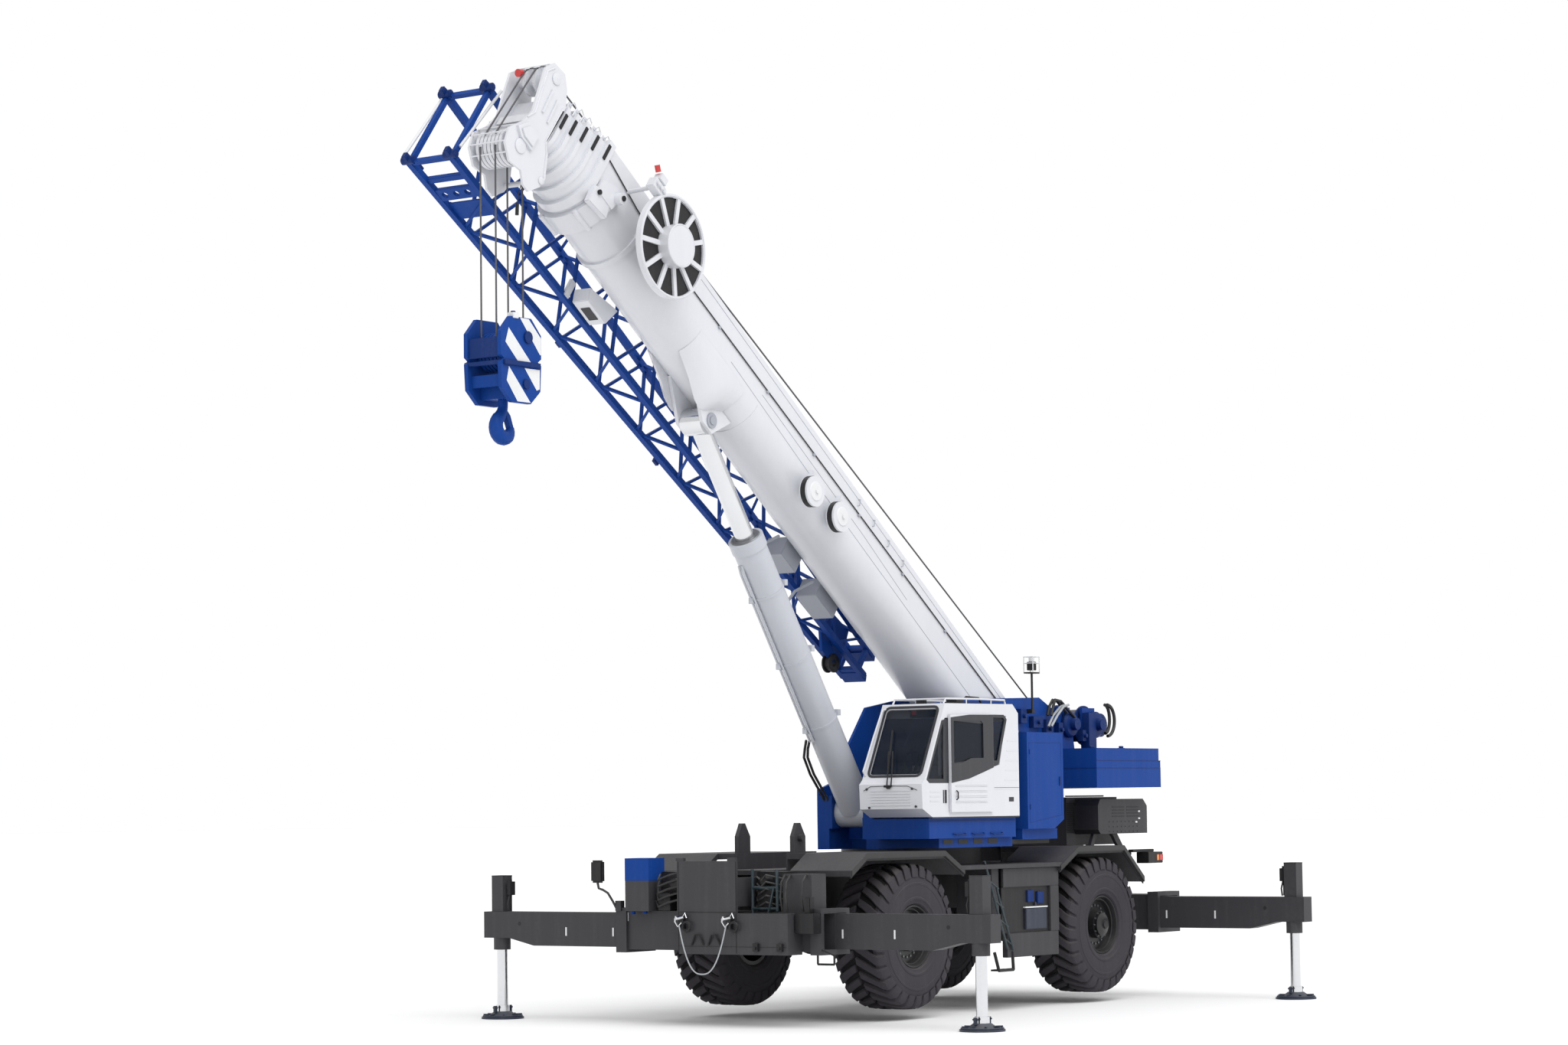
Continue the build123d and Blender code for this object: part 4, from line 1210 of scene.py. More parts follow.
@dataclass
class Turntable:
    """Panels, hoses, motors, ropes on the drums and the mast of the turntable."""

    plate: float = 0.492
    drum_half: float = 0.375
    rope_turns: int = 22

    def build(self) -> None:
        """Builds the turntable's pieces."""
        self._cabinet()
        self._weights()
        self._winches()
        self._machinery()
        self._skirt()
        self._mast()

    def _cabinet(self) -> None:
        """Door line, latch and hinges of the side cabinet."""
        low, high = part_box("side_cabinet")
        y = high.y
        x0, x1 = low.x + 0.05, high.x - 0.05
        line = Form()
        outer = flat(y, (x0, 2.58), (x1, 2.48), (x1, 3.56), (x0, 3.56))
        inner = flat(y, (x0 + 0.005, 2.585), (x1 - 0.005, 2.485), (x1 - 0.005, 3.555), (x0 + 0.005, 3.555))
        line.frame(outer, inner, (0, 0.0015, 0))
        line.piece("cabinet_door_line", BLUE_IN_SHADE, "turntable")
        latch = Form().box((x0 + 0.03, y, 2.98), (x0 + 0.06, y + 0.012, 3.10))
        for z in (2.66, 3.40):
            latch.rod((x1 - 0.01, y, z), (x1 - 0.01, y, z + 0.07), 0.010, 10)
        latch.piece("cabinet_latch", BLUE_IN_SHADE, "turntable", 0.003)

    def _weights(self) -> None:
        """Ledge, lifting eyes and seams of the counterweight."""
        low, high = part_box("counterweight")
        Form().box((low.x, low.y, 3.221), (low.x + 0.052, high.y, 3.325)).piece("weight_ledge", BLUE, "turntable",
            0.004)
        seam = Form()
        for side in SIDES:
            for z in (3.222, 3.325):
                seam.box((low.x + 0.002, side * 1.4998, z - 0.005), (high.x - 0.005, side * 1.5018, z + 0.005))
            seam.box((high.x, side * 0.52, 3.218), (high.x + 0.002, side * 1.49, 3.228))
        seam.piece("weight_seams", BLUE_IN_SHADE, "turntable")
        eyes = Form()
        for side in SIDES:
            for x in (low.x + 0.55, high.x - 0.40):
                eyes.box((x - 0.06, side * 1.18 - 0.03, high.z), (x + 0.06, side * 1.18 + 0.03, high.z + 0.012))
                eyes.rod((x - 0.045, side * 1.18, high.z + 0.024), (x + 0.045, side * 1.18, high.z + 0.024), 0.016,
                         10)
        eyes.piece("weight_eyes", BLUE_IN_SHADE, "turntable", 0.003)

    def _winches(self) -> None:
        """Rope wound on the two drums, and the motors outside the side plates."""
        for name in ("winch_main", "winch_aux"):
            low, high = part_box(name)
            centre = (low + high) / 2
            half, turns = self.drum_half, self.rope_turns
            profile = [(0.1, -half), (0.225, -half)]
            for k in range(turns * 2):
                wave = 0.232 if k % 2 else 0.215
                profile.append((wave, -half + (k + 0.5) * half / turns))
            profile += [(0.225, half), (0.1, half)]
            Form().lathe(tuple(centre), (0, 1, 0), profile, 40).piece("rope_on_" + name, ROPE, name)
        motors = Form(at)
        radius = 0.19
        for x in (-3.32, -4.02):
            for side in SIDES:
                y = side * self.plate
                motors.lathe((x, y, 3.86), (0, side, 0), [(0.001, 0.0), (radius, 0.0), (radius, 0.05),
                    (radius - 0.03, 0.08), (0.09, 0.09), (0.085, 0.17), (0.001, 0.17)], 28)
        motors.boxes((-3.92, 0.495, 3.50, -3.72, 0.60, 4.03), (-4.16, 0.30, 3.52, -4.10, 0.46, 4.02),
                     (-4.34, 0.30, 3.62, -4.10, 0.34, 4.02))
        motors.lathe((-4.34, 0.34, 3.86), (0, 1, 0), [(0.001, 0), (0.17, 0), (0.17, 0.09), (0.12, 0.12),
            (0.001, 0.12)], 28)
        motors.piece("winch_motors", BLUE_IN_SHADE, "turntable", 0.004)

    def _machinery(self) -> None:
        """Hoses, pipes and valves along the upper edge of the left side plate."""
        big = Form(at)
        for far, low_z, y in ((0.20, 3.70, 0.56), (0.13, 3.74, 0.52)):
            route = []
            for i in range(17):
                t = math.pi * i / 16
                route.append((-4.30 - far * math.sin(t), y, (4.15 + low_z) / 2 + (4.15 - low_z) / 2 * math.cos(t)))
            big.pipe(route, 0.024, 10)
        for k in range(2):
            y = 0.53 + 0.06 * k
            big.pipe(flat(y, (-3.30 - 0.05 * k, 3.96), (-3.14, 4.08), (-2.98, 4.18), (-2.86 + 0.03 * k, 4.20),
                          (-2.78, 4.12), (-2.72, 3.98)), 0.021, 10)
        big.piece("winch_hoses", HOSE, "turntable")
        pale = Form(at)
        for k in range(2):
            y = 0.60 + 0.05 * k
            pale.pipe(flat(y, (-2.62, 3.82), (-2.76 - 0.03 * k, 3.98), (-2.95, 4.10), (-3.06 - 0.03 * k, 4.13)),
                      0.018, 10)
        pale.ring((-1.62, 0.56, 3.80), (0, 1, 0), 0.035, 0.014, 20)
        pale.piece("winch_pale_hoses", CABLE, "turntable")
        pipes = Form(at)
        for k in range(4):
            z = 3.52 + 0.055 * k
            pipes.pipe(flat(0.52, (-1.42, z + 0.05), (-2.0, z + 0.06), (-2.45, z), (-3.0, z)), 0.013, 8)
        for x, z, long, tall in ((-1.62, 3.72, 0.20, 0.24), (-1.95, 3.86, 0.16, 0.20), (-2.28, 3.80, 0.26, 0.16),
                                 (-2.62, 3.66, 0.18, 0.26), (-2.95, 3.68, 0.12, 0.20), (-3.60, 3.62, 0.10, 0.16)):
            pipes.box((x - long, 0.491, z), (x, 0.57, z + tall))
            pipes.rod((x - long / 2, 0.57, z + tall / 2), (x - long / 2, 0.61, z + tall / 2), 0.03, 12)
        pipes.piece("turntable_valves", BLUE_IN_SHADE, "turntable", 0.004)

    def _skirt(self) -> None:
        """Steps, pipes and shadows of the lower edge under the cab and cabinet."""
        under = Form(at)
        under.box((-1.30, 0.60, 2.20), (-0.30, 1.40, 2.262))
        for k in range(4):
            under.box((0.10 + 0.36 * k, 1.450, 2.22), (0.32 + 0.36 * k, 1.453, 2.285))
        under.piece("skirt_shadow", BLACK, "turntable")
        rails = Form(at)
        for k in range(3):
            x = 0.12 + 0.45 * k
            rails.pipe([(x, 1.545, 2.36), (x + 0.02, 1.575, 2.345), (x + 0.26, 1.575, 2.345),
                        (x + 0.28, 1.545, 2.36)], 0.010, 8)
        rails.box((-0.22, 1.54, 2.52), (1.85, 1.546, 2.532))
        rails.piece("skirt_grips", BLUE_IN_SHADE, "turntable")

    def _mast(self) -> None:
        """Small mast with a camera in a pale frame beside the boom foot."""
        x, y = -2.17, 0.62
        mast = Form(at).rod((x, y, 4.0), (x, y, 4.56), 0.016)
        mast.boxes((x - 0.05, y - 0.05, 4.60, x + 0.05, y + 0.05, 4.72),
                   (x - 0.11, y - 0.07, 4.555, x + 0.11, y + 0.07, 4.575),
                   (x - 0.04, 0.50, 4.0, x + 0.04, 0.64, 4.06))
        mast.piece("mast_camera", BLACK, "turntable", 0.006)
        cage = Form(at)
        wide, deep = 0.085, 0.075
        for dx in (-wide, wide):
            for dy in (-deep, deep):
                cage.rod((x + dx, y + dy, 4.575), (x + dx, y + dy, 4.79), 0.007, 6)
        for z in (4.70, 4.79):
            ring = [(x + a * wide, y + b * deep, z) for a, b in ((-1, -1), (1, -1), (1, 1), (-1, 1), (-1, -1))]
            cage.chain(ring, 0.007, 6)
        cage.rod((x, y, 4.72), (x, y, 4.78), 0.04, 14)
        cage.piece("mast_cage", STRIPE, "turntable")


@dataclass
class Cab:
    """Glass, seals, ribs, rails, wiper, console and seat trim of the cab."""

    inset: float = 0.014
    face: float = 1.6
    door_face: float = 1.646
    # rows: outline on the side, X and Z, and the inner line beside it
    rear_seal: tuple[tuple[float, float, float, float], ...] = ((0.045, 3.865, 0.10, 3.86),
        (0.12, 3.925, 0.14, 3.885), (0.455, 3.925, 0.455, 3.885), (0.455, 3.22, 0.455, 3.32),
        (0.26, 3.275, 0.30, 3.315), (0.15, 3.58, 0.20, 3.60))
    front_seal: tuple[tuple[float, float, float, float], ...] = ((1.475, 3.02, 1.60, 3.075),
        (1.93, 3.02, 1.93, 3.075), (1.995, 3.065, 1.955, 3.085), (1.625, 3.835, 1.60, 3.785),
        (1.475, 3.865, 1.585, 3.80), (1.475, 3.40, 1.60, 3.40))
    door_seal: tuple[tuple[float, float, float, float], ...] = ((0.455, 3.225, 0.70, 3.35),
        (0.69, 3.165, 1.00, 3.345), (1.06, 3.075, 1.22, 3.285), (1.475, 3.02, 1.41, 3.275),
        (1.475, 3.875, 1.41, 3.83), (1.03, 3.915, 0.75, 3.835), (0.455, 3.922, 0.70, 3.80))

    def build(self) -> None:
        """Builds the cab's pieces."""
        low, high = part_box("cab_shell")
        self.inner = low.y
        self.slope = Vector((-0.5, 0.0, 0.99)).normalized()
        self.out = Vector((self.slope.z, 0, -self.slope.x))
        self.mid = (low.y + high.y) / 2
        self.foot = Vector((2.04, 0, 3.07))
        self._glass()
        self._seals()
        self._ribs()
        self._wiper()
        self._rails()
        self._inside()

    def _on_screen(self, y: float, s: float, lift: float = 0.0) -> Point:
        """A point on the windscreen's slope.

        Args:
            y: distance to the left.
            s: distance up the slope from the screen's foot.
            lift: distance out of the slope.

        Returns:
            The point, measured from the slewing axis.
        """
        spot = self.foot + self.slope * s + self.out * lift
        return (spot.x, y, spot.z)

    def _front(self, z: float) -> float:
        """X of the leaning front panel at a height."""
        return 2.097 + (z - 2.69) * 0.047

    def _glass(self) -> None:
        """All panes of the cab and the door."""
        glass = Form(at)
        sides = [(1.955, 3.08), (1.585, 3.815), (1.535, 3.865), (0.065, 3.905), (0.245, 3.265), (1.45, 3.05)]
        for y in (self.inner + self.inset, self.face - self.inset - 0.006):
            glass.prism(flat(y, *sides), (0, 0.006, 0))
        corners = ((-0.40, 0.075), (0.40, 0.075), (0.40, 1.035), (-0.40, 1.035))
        sheet = [self._on_screen(self.mid + y, s, -0.02) for y, s in corners]
        glass.prism(sheet, tuple(-self.out * 0.006))
        glass.boxes((-0.22, self.inner + 0.1, 3.29, -0.214, self.face - 0.1, 3.86),
                    (0.06, self.inner + 0.12, 4.035, 1.41, self.face - 0.12, 4.041))
        glass.piece("cab_glass", GLASS, "turntable")
        pane = [(0.70, 3.35), (1.00, 3.345), (1.22, 3.285), (1.41, 3.275), (1.41, 3.83), (0.75, 3.835), (0.70, 3.80)]
        door = Form(at).prism(flat(self.door_face - 0.02, *pane), (0, 0.006, 0))
        door.piece("door_glass", GLASS, "cab_door")

    def _rimmed(self, form: Form, rows: tuple, y: float, thick: float) -> None:
        """Adds a flat seal between two outlines on the side.

        Args:
            form: takes the seal.
            rows: X and Z of the outer corners, then of the inner ones.
            y: the seal's inner face.
            thick: its thickness.
        """
        outer = [(x, y, z) for x, z, _, _ in rows]
        inner = [(x, y, z) for _, _, x, z in rows]
        form.frame(outer, inner, (0, thick, 0))

    def _seals(self) -> None:
        """Black seals round the side windows, the door's window and the windscreen."""
        seals = Form(at)
        for rows in (self.rear_seal, self.front_seal):
            self._rimmed(seals, rows, self.face, 0.0025)
        seals.piece("side_seals", SEAL, "turntable")
        screen = Form(at)
        corners = []
        for grow in (0.028, -0.008):
            ring = []
            for cy, cs, start in ((0.345, 0.12, -90), (0.345, 0.99, 0), (-0.345, 0.99, 90), (-0.345, 0.12, 180)):
                for k in range(5):
                    t = math.radians(start + 22.5 * k)
                    ring.append(self._on_screen(self.mid + cy + (0.06 + grow) * math.cos(t),
                                                cs + (0.06 + grow) * math.sin(t), 0.001))
            corners.append(ring)
        screen.frame(corners[0], corners[1], tuple(self.out * 0.006))
        screen.piece("screen_seal", SEAL, "turntable")
        door = Form(at)
        self._rimmed(door, self.door_seal, self.door_face, 0.003)
        door.frame([(0.512, 1.62, 3.28), (1.418, 1.62, 3.11), (1.418, 1.62, 3.85), (0.512, 1.62, 3.868)],
                   [(0.70, 1.62, 3.345), (1.41, 1.62, 3.28), (1.41, 1.62, 3.83), (0.70, 1.62, 3.80)], (0, 0.02, 0))
        door.piece("door_seal", SEAL, "cab_door")

    def _ribs(self) -> None:
        """Pressed ribs, seams and bolts of the cab's lower panels."""
        beads = Form(at)
        for z in (2.76, 2.83, 2.90, 2.97):
            beads.box((0.62, self.door_face, z), (1.38, self.door_face + 0.004, z + 0.018))
        beads.piece("door_ribs", WHITE, "cab_door", 0.002)
        shell = Form(at)
        for k in range(5):
            z = 3.05 + 0.13 * k
            shell.box((-0.225, self.face, z), (0.12 - 0.02 * k, self.face + 0.0022, z + 0.016))
        shell.box((-0.225, self.face, 2.93), (0.44, self.face + 0.0022, 2.945))
        for k in range(6):
            z = 2.735 + 0.037 * k
            x = self._front(z)
            shell.box((x, 0.80, z), (x + 0.006, 1.42, z + 0.014))
        for k in range(3):
            z = 2.78 + 0.06 * k
            shell.box((1.68, self.face, z), (1.92, self.face + 0.004, z + 0.014))
        shell.piece("shell_ribs", WHITE, "turntable", 0.001)
        dark = Form(at)
        for y, z in ((0.74, 2.95), (1.45, 2.95), (0.77, 2.71), (1.50, 2.72)):
            x = self._front(z)
            dark.rod((x, y, z), (x + 0.012, y, z), 0.016, 14)
        dark.pipe([(2.113, 0.69, 2.93), (2.115, 0.80, 2.985), (2.112, 1.10, 2.99), (2.115, 1.38, 2.985),
                   (2.113, 1.53, 2.93)], 0.004, 6)
        dark.boxes((1.54, self.face, 2.76, 1.575, self.face + 0.012, 2.93),
                   (1.60, self.face, 2.76, 1.612, self.face + 0.008, 2.93),
                   (-0.235, self.face, 2.955, 0.43, self.face + 0.0012, 2.96),
                   (-0.10, self.face, 2.77, 0.02, self.face + 0.002, 2.83),
                   (-0.235, 0.66, 2.562, 1.86, self.face + 0.001, 2.579))
        dark.piece("cab_trim", SEAL, "turntable", 0.001)
        grip = Form(at).pipe([(1.36, self.door_face + d, z)
                              for d, z in ((0, 2.80), (0.025, 2.82), (0.025, 2.90), (0, 2.92))], 0.009)
        grip.piece("door_handle", BLACK, "cab_door")

    def _wiper(self) -> None:
        """Wiper motor, arms and blade on the windscreen."""
        wiper = Form(at)
        x, y, z = 2.115, 1.09, 2.975
        wiper.rod((x - 0.01, y, z), (x + 0.03, y, z), 0.026, 14)
        wiper.rod((x + 0.02, y - 0.06, z + 0.01), (x + 0.02, y + 0.05, z + 0.01), 0.016, 10)
        for shift in (-0.02, 0.045):
            wiper.pipe([(x + 0.02, y + shift, z), self._on_screen(1.06 + shift, 0.04, 0.045),
                        self._on_screen(0.96 + shift, 0.40, 0.03)], 0.009, 8)
        blade = ((1.01, 0.10, 0.016), (0.95, 0.45, 0.020), (0.90, 0.72, 0.016))
        wiper.pipe([self._on_screen(*row) for row in blade], 0.011, 8)
        wiper.piece("screen_wiper", BLACK, "turntable")

    def _rails(self) -> None:
        """Grab rails, roof rails and mirror bracket outside the cab."""
        rail = Form(at)
        line = ((0.655, 0.06, 0.0), (0.64, 0.10, 0.05), (0.66, 0.60, 0.055), (0.68, 1.00, 0.05), (0.69, 1.04, 0.0))
        rail.pipe([self._on_screen(*row) for row in line], 0.014)
        rail.pipe([(-0.10, 1.53, 4.05), (-0.20, 1.53, 4.06), (-0.262, 1.55, 3.98), (-0.268, 1.57, 3.70),
                   (-0.24, 1.57, 3.66)], 0.014)
        for y in (0.72, 1.52):
            rail.pipe([(-0.05, y, 4.07), (-0.03, y, 4.125), (0.60, y, 4.13), (1.40, y, 4.125), (1.45, y, 4.06)],
                      0.013)
            for x in (0.3, 0.9):
                rail.rod((x, y, 4.065), (x, y, 4.125), 0.009, 8)
        rail.rod((1.40, 0.72, 4.125), (1.40, 1.52, 4.125), 0.012, 10)
        rail.piece("cab_rails", WHITE, "turntable")
        dark = Form(at).boxes((1.30, 1.04, 4.06, 1.38, 1.16, 4.14), (0.90, 1.28, 4.06, 1.02, 1.44, 4.13))
        dark.pipe([(0.35, 1.40, 4.07), (0.45, 1.42, 4.15), (0.75, 1.42, 4.16), (0.88, 1.40, 4.07)], 0.014)
        dark.boxes((0.0, 0.75, 4.068, 1.34, 0.78, 4.085), (0.0, 1.44, 4.068, 1.34, 1.47, 4.085))
        dark.piece("roof_fittings", BLACK, "turntable", 0.003)

    def _inside(self) -> None:
        """Seat cushions, screens, overhead panel and blind inside the cab."""
        seat = Form(at)
        seat.boxes((0.42, 0.86, 3.131, 0.92, 1.36, 3.20), (0.501, 0.88, 3.20, 0.56, 1.34, 3.72),
                   (0.505, 0.98, 3.72, 0.56, 1.24, 3.86))
        seat.piece("seat_cushions", SEAT, "turntable", 0.02)
        dark = Form(at).box((1.46, 0.80, 3.30), (1.50, 1.04, 3.50)).rod((1.48, 0.92, 3.08), (1.48, 0.92, 3.31), 0.015)
        dark.boxes((1.38, 1.02, 3.88, 1.50, 1.42, 3.99), (1.60, 0.90, 3.08, 1.80, 1.32, 3.13))
        dark.rod((1.05, 0.84, 3.26), (1.03, 0.84, 3.42), 0.014).rod((1.05, 1.36, 3.26), (1.03, 1.36, 3.42), 0.014)
        dark.rod((1.55, 1.1, 3.13), (1.42, 1.1, 3.34), 0.02).ring((1.42, 1.1, 3.35), (-0.55, 0, 0.84), 0.16, 0.013,
            28)
        dark.piece("cab_controls", BLACK, "turntable", 0.004)
        Form(at).box((1.501, 1.06, 3.92), (1.506, 1.12, 3.97)).piece("warning_lens", RED, "turntable")
        blind = Form(at).boxes((1.44, 1.44, 3.12, 1.48, 1.53, 3.98), (1.34, 0.70, 4.0, 1.48, 1.53, 4.02))
        blind.box((-0.18, 0.68, 2.64), (-0.15, 1.54, 3.26))
        blind.piece("cab_lining", WHITE, "turntable", 0.004)


@dataclass
class Boom:
    """Pads, guides, cord, seams, doublers and rope of the boom."""

    half: float = 0.42
    arc_w: float = 0.079
    # rows: body, front end, half width of its collar, middle of its pad, top of its collar
    tips: tuple[tuple[str, float, float, float, float], ...] = (("boom_base", 11.5, 0.448, 0.494, 0.666),
        ("boom_2", 11.7, 0.412, 0.461, 0.630), ("boom_3", 11.89, 0.380, 0.418, 0.598),
        ("boom_4", 12.06, 0.348, 0.368, 0.566), ("boom_5", 12.21, 0.316, 0.330, 0.534))

    def build(self) -> None:
        """Builds the boom's pieces."""
        for k, (body, tip, half, middle, top) in enumerate(self.tips):
            self._collar(k, body, tip, half, middle, top)
        self._cord()
        self._seams()
        self._saddle()
        self._small_reels()
        self._brackets()
        self._rope()

    def _skin(self, u: float, w: float, lift: float = 0.0) -> Point:
        """A point on the boom's left surface.

        Args:
            u: distance along the boom.
            w: distance above the pivot, square to the boom.
            lift: distance off the surface.

        Returns:
            The point in the boom's own frame.
        """
        reach = self.half + lift
        if w < self.arc_w:
            reach = math.sqrt(max(reach ** 2 - (w - self.arc_w) ** 2, 1e-6))
        return (u, reach, w)

    def _collar(self, k: int, body: str, tip: float, half: float, middle: float, top: float) -> None:
        """Wear pads on the sides and the guide on top of one section's tip.

        Args:
            k: number of the section, from 0.
            body: the section's body.
            tip: its front end.
            half: half width of its collar.
            middle: middle height of its pad.
            top: top of its collar.
        """
        pads = Form(on_boom)
        for side in SIDES:
            y = side * half
            low, high = middle - 0.13, middle + 0.10
            pads.prism(oblong(y, tip - 0.052, tip - 0.004, low, high), (0, side * 0.016, 0))
        pads.piece(f"wear_pads_{k + 1}", BLACK, body, 0.003)
        guide = Form(on_boom)
        for y in (-0.22, 0.02, 0.24):
            guide.prism(flat(y, (tip - 0.10, top), (tip - 0.01, top), (tip - 0.02, top + 0.13),
                             (tip - 0.08, top + 0.13)), (0, 0.016, 0))
        guide.rod((tip - 0.05, -0.24, top + 0.10), (tip - 0.05, 0.27, top + 0.10), 0.022, 12)
        guide.rod((tip - 0.03, 0.17, top + 0.005), (tip - 0.03, 0.17, top + 0.06), 0.03, 12)
        guide.pipe([(tip - 0.05, 0.27, top + 0.10), (tip - 0.05, 0.31, top + 0.13), (tip - 0.12, 0.31, top + 0.10),
                    (tip - 0.12, 0.30, top - 0.02)], 0.008, 6)
        guide.piece(f"tip_guide_{k + 1}", WHITE, body, 0.002)

    def _cord(self) -> None:
        """Signal cord along the left side, held by small guides."""
        line = [(0.45, 0.475), (3.0, 0.43), (5.65, 0.384), (7.71, 0.348), (9.2, 0.322), (9.9, 0.31), (10.6, 0.35),
                (11.36, 0.46)]
        Form(on_boom).pipe(flat(self.half + 0.012, *line), 0.008, 8).piece("boom_cord", HOSE, "boom_base")
        guides = Form(on_boom)
        for k in range(7):
            u = 2.25 + 1.25 * k
            w = 0.475 - 0.0175 * (u - 0.45)
            guides.prism(oblong(self.half, u - 0.02, u + 0.02, w - 0.03, w - 0.010), (0, 0.03, 0))
        guides.piece("cord_guides", SHADE, "boom_base")
        hooks = Form(on_boom)
        for k in range(4):
            u = 3.6 + 0.42 * k
            hooks.pipe([(u, self.half, 0.56), (u, self.half + 0.03, 0.56), (u - 0.03, self.half + 0.03, 0.48),
                        (u - 0.03, self.half, 0.48)], 0.006, 6)
        hooks.piece("boom_hooks", SHADE, "boom_base")

    def _seams(self) -> None:
        """Weld lines and a doubler wrapped round the underside."""
        seams = Form(on_boom)
        lines = ([(8.05, 0.14), (5.84, 0.10), (0.3, 0.10)], [(10.3, 0.56), (0.3, 0.56)],
                 [(3.2, 0.20), (4.5, 0.245), (7.3, 0.245)], [(8.6, -0.05), (8.6, -0.28)])
        for line in lines:
            seams.pipe([self._skin(u, w, 0.0005) for u, w in line], 0.0035, 6)
        seams.piece("boom_seams", SHADE, "boom_base")
        steps = 26
        doubler = Form(on_boom)
        outer: list[list[Point]] = []
        for k in range(steps + 1):
            t = math.pi * (k / steps)
            edge = min(k, steps - k) / 5.0
            start = 3.08 + (0.32 * (1 - math.sqrt(1 - (1 - edge) ** 2)) if edge < 1 else 0.0)
            rows = []
            for u, r in ((start, self.half - 0.002), (start, self.half + 0.007), (7.3, self.half + 0.007),
                         (7.3, self.half - 0.002)):
                rows.append((u, r * math.cos(t), self.arc_w - r * math.sin(t)))
            outer.append(rows)
        doubler.loft(outer)
        doubler.piece("boom_doubler", WHITE, "boom_base")

    def _saddle(self) -> None:
        """Flared saddle that ties the lift cylinder's cheeks to the boom's sides."""
        full = [(0.30, 0.02), (0.436, 0.04), (0.442, -0.12), (0.40, -0.33), (0.30, -0.52), (0.217, -0.60),
                (0.217, -0.25)]
        slim = [(0.30, 0.02), (0.424, 0.03), (0.418, -0.02), (0.385, -0.12), (0.30, -0.24), (0.222, -0.30),
                (0.217, -0.25)]
        saddle = Form(on_boom)
        for side in SIDES:
            sections = []
            for u, mix in ((7.62, 0.0), (7.80, 0.45), (7.92, 0.85), (8.02, 1.0), (8.16, 0.9), (8.40, 0.45),
                           (8.75, 0.0)):
                sections.append([(u, side * (a[0] + (b[0] - a[0]) * mix), a[1] + (b[1] - a[1]) * mix)
                                 for a, b in zip(slim, full)])
            saddle.loft(sections)
        saddle.piece("eye_saddle", WHITE, "boom_base")
        pins = Form(on_boom)
        for side in SIDES:
            pins.rod((7.724, side * 0.215, -0.55), (7.724, side * 0.232, -0.55), 0.10, 28)
            pins.rod((7.724, side * 0.232, -0.55), (7.724, side * 0.246, -0.55), 0.055, 20)
        pins.piece("eye_pin_caps", SHADE, "boom_base", 0.003)

    def _small_reels(self) -> None:
        """Dark hose drums and pale faces of the two small reels."""
        dark = Form(on_boom)
        face = Form(on_boom)
        for u, w in ((5.88, -0.18), (5.23, -0.06)):
            dark.lathe((u, 0.515, w), (0, 1, 0), [(0.19, 0.0), (0.204, 0.0), (0.204, 0.075), (0.19, 0.075)], 36)
            face.lathe((u, 0.62, w), (0, 1, 0), [(0.001, 0.0), (0.13, 0.0), (0.12, 0.012), (0.001, 0.014)], 28)
            face.rod((u, 0.63, w), (u, 0.655, w), 0.03, 14)
        dark.piece("small_reel_hoses", BLACK, "boom_base")
        face.piece("small_reel_faces", STRIPE, "boom_base")

    def _brackets(self) -> None:
        """Brackets that hold the jib, the sensor above the large reel, and the cradle's fittings."""
        holder = Form(on_boom)
        for u0, u1, w0, w1 in ((4.58, 4.98, -0.42, -0.12), (3.55, 4.05, -0.36, -0.06)):
            holder.prism(oblong(-0.70, u0, u1, w0, w1), (0, 0.34, 0))
        stow = Form(on_boom).prism(flat(-0.60, (9.55, -0.50), (9.98, -0.50), (10.04, -0.34), (9.46, -0.20)),
                                   (0, 0.26, 0))
        stow.prism(oblong(-0.66, 10.04, 10.14, -0.50, -0.24), (0, 0.05, 0))
        stow.prism(flat(0.40, (11.02, -0.22), (11.40, -0.27), (11.42, -0.02), (11.24, 0.02), (11.06, -0.06)),
                   (0, 0.085, 0))
        for v in (-0.27, 0.25):
            stow.rod((10.98, v, -0.33), (11.34, v, -0.36), 0.035, 12)
        stow.piece("stow_bracket", WHITE, "boom_base", 0.008)
        for u in (4.2, 5.15):
            holder.pipe([(u, -0.36, -0.25), (u + 0.05, -0.55, -0.45), (u - 0.1, -0.74, -0.50)], 0.022, 8)
        holder.piece("jib_brackets", SHADE, "boom_base", 0.01)
        dark = Form(on_boom)
        dark.prism(oblong(-0.705, 3.62, 3.85, -0.30, -0.14), (0, -0.02, 0))
        dark.rod((11.32, 0.49, -0.06), (11.32, 0.515, -0.06), 0.032, 16)
        dark.rod((11.01, 0.585, 0.12), (11.01, 0.60, 0.12), 0.035, 16)
        dark.piece("bracket_trim", BLACK, "boom_base")
        sensor = Form(on_boom)
        sensor.rod((10.86, 0.42, 0.40), (10.86, 0.86, 0.44), 0.028, 12)
        for u0, u1, w0, w1, y0 in ((10.74, 10.98, 0.34, 0.48, 0.80), (10.80, 10.94, 0.48, 0.58, 0.82)):
            sensor.prism(oblong(y0, u0, u1, w0, w1), (0, 0.12, 0))
        for k in range(3):
            sensor.rod((10.78 + 0.07 * k, 0.93, 0.41), (10.78 + 0.07 * k, 0.955, 0.41), 0.025, 12)
        sensor.piece("reel_sensor", WHITE, "boom_base", 0.006)
        lamp = Form(on_boom).rod((10.96, 0.88, 0.58), (11.03, 0.88, 0.63), 0.035, 16)
        lamp.piece("reel_lamp", RED, "boom_base")
        plate = Form(on_boom).prism([(9.64, -0.40, -0.503), (9.86, -0.40, -0.503), (9.86, -0.54, -0.503),
                                     (9.64, -0.54, -0.503)], tuple(RISE * -0.004))
        plate.piece("blank_plate_boom", GREY, "boom_base")

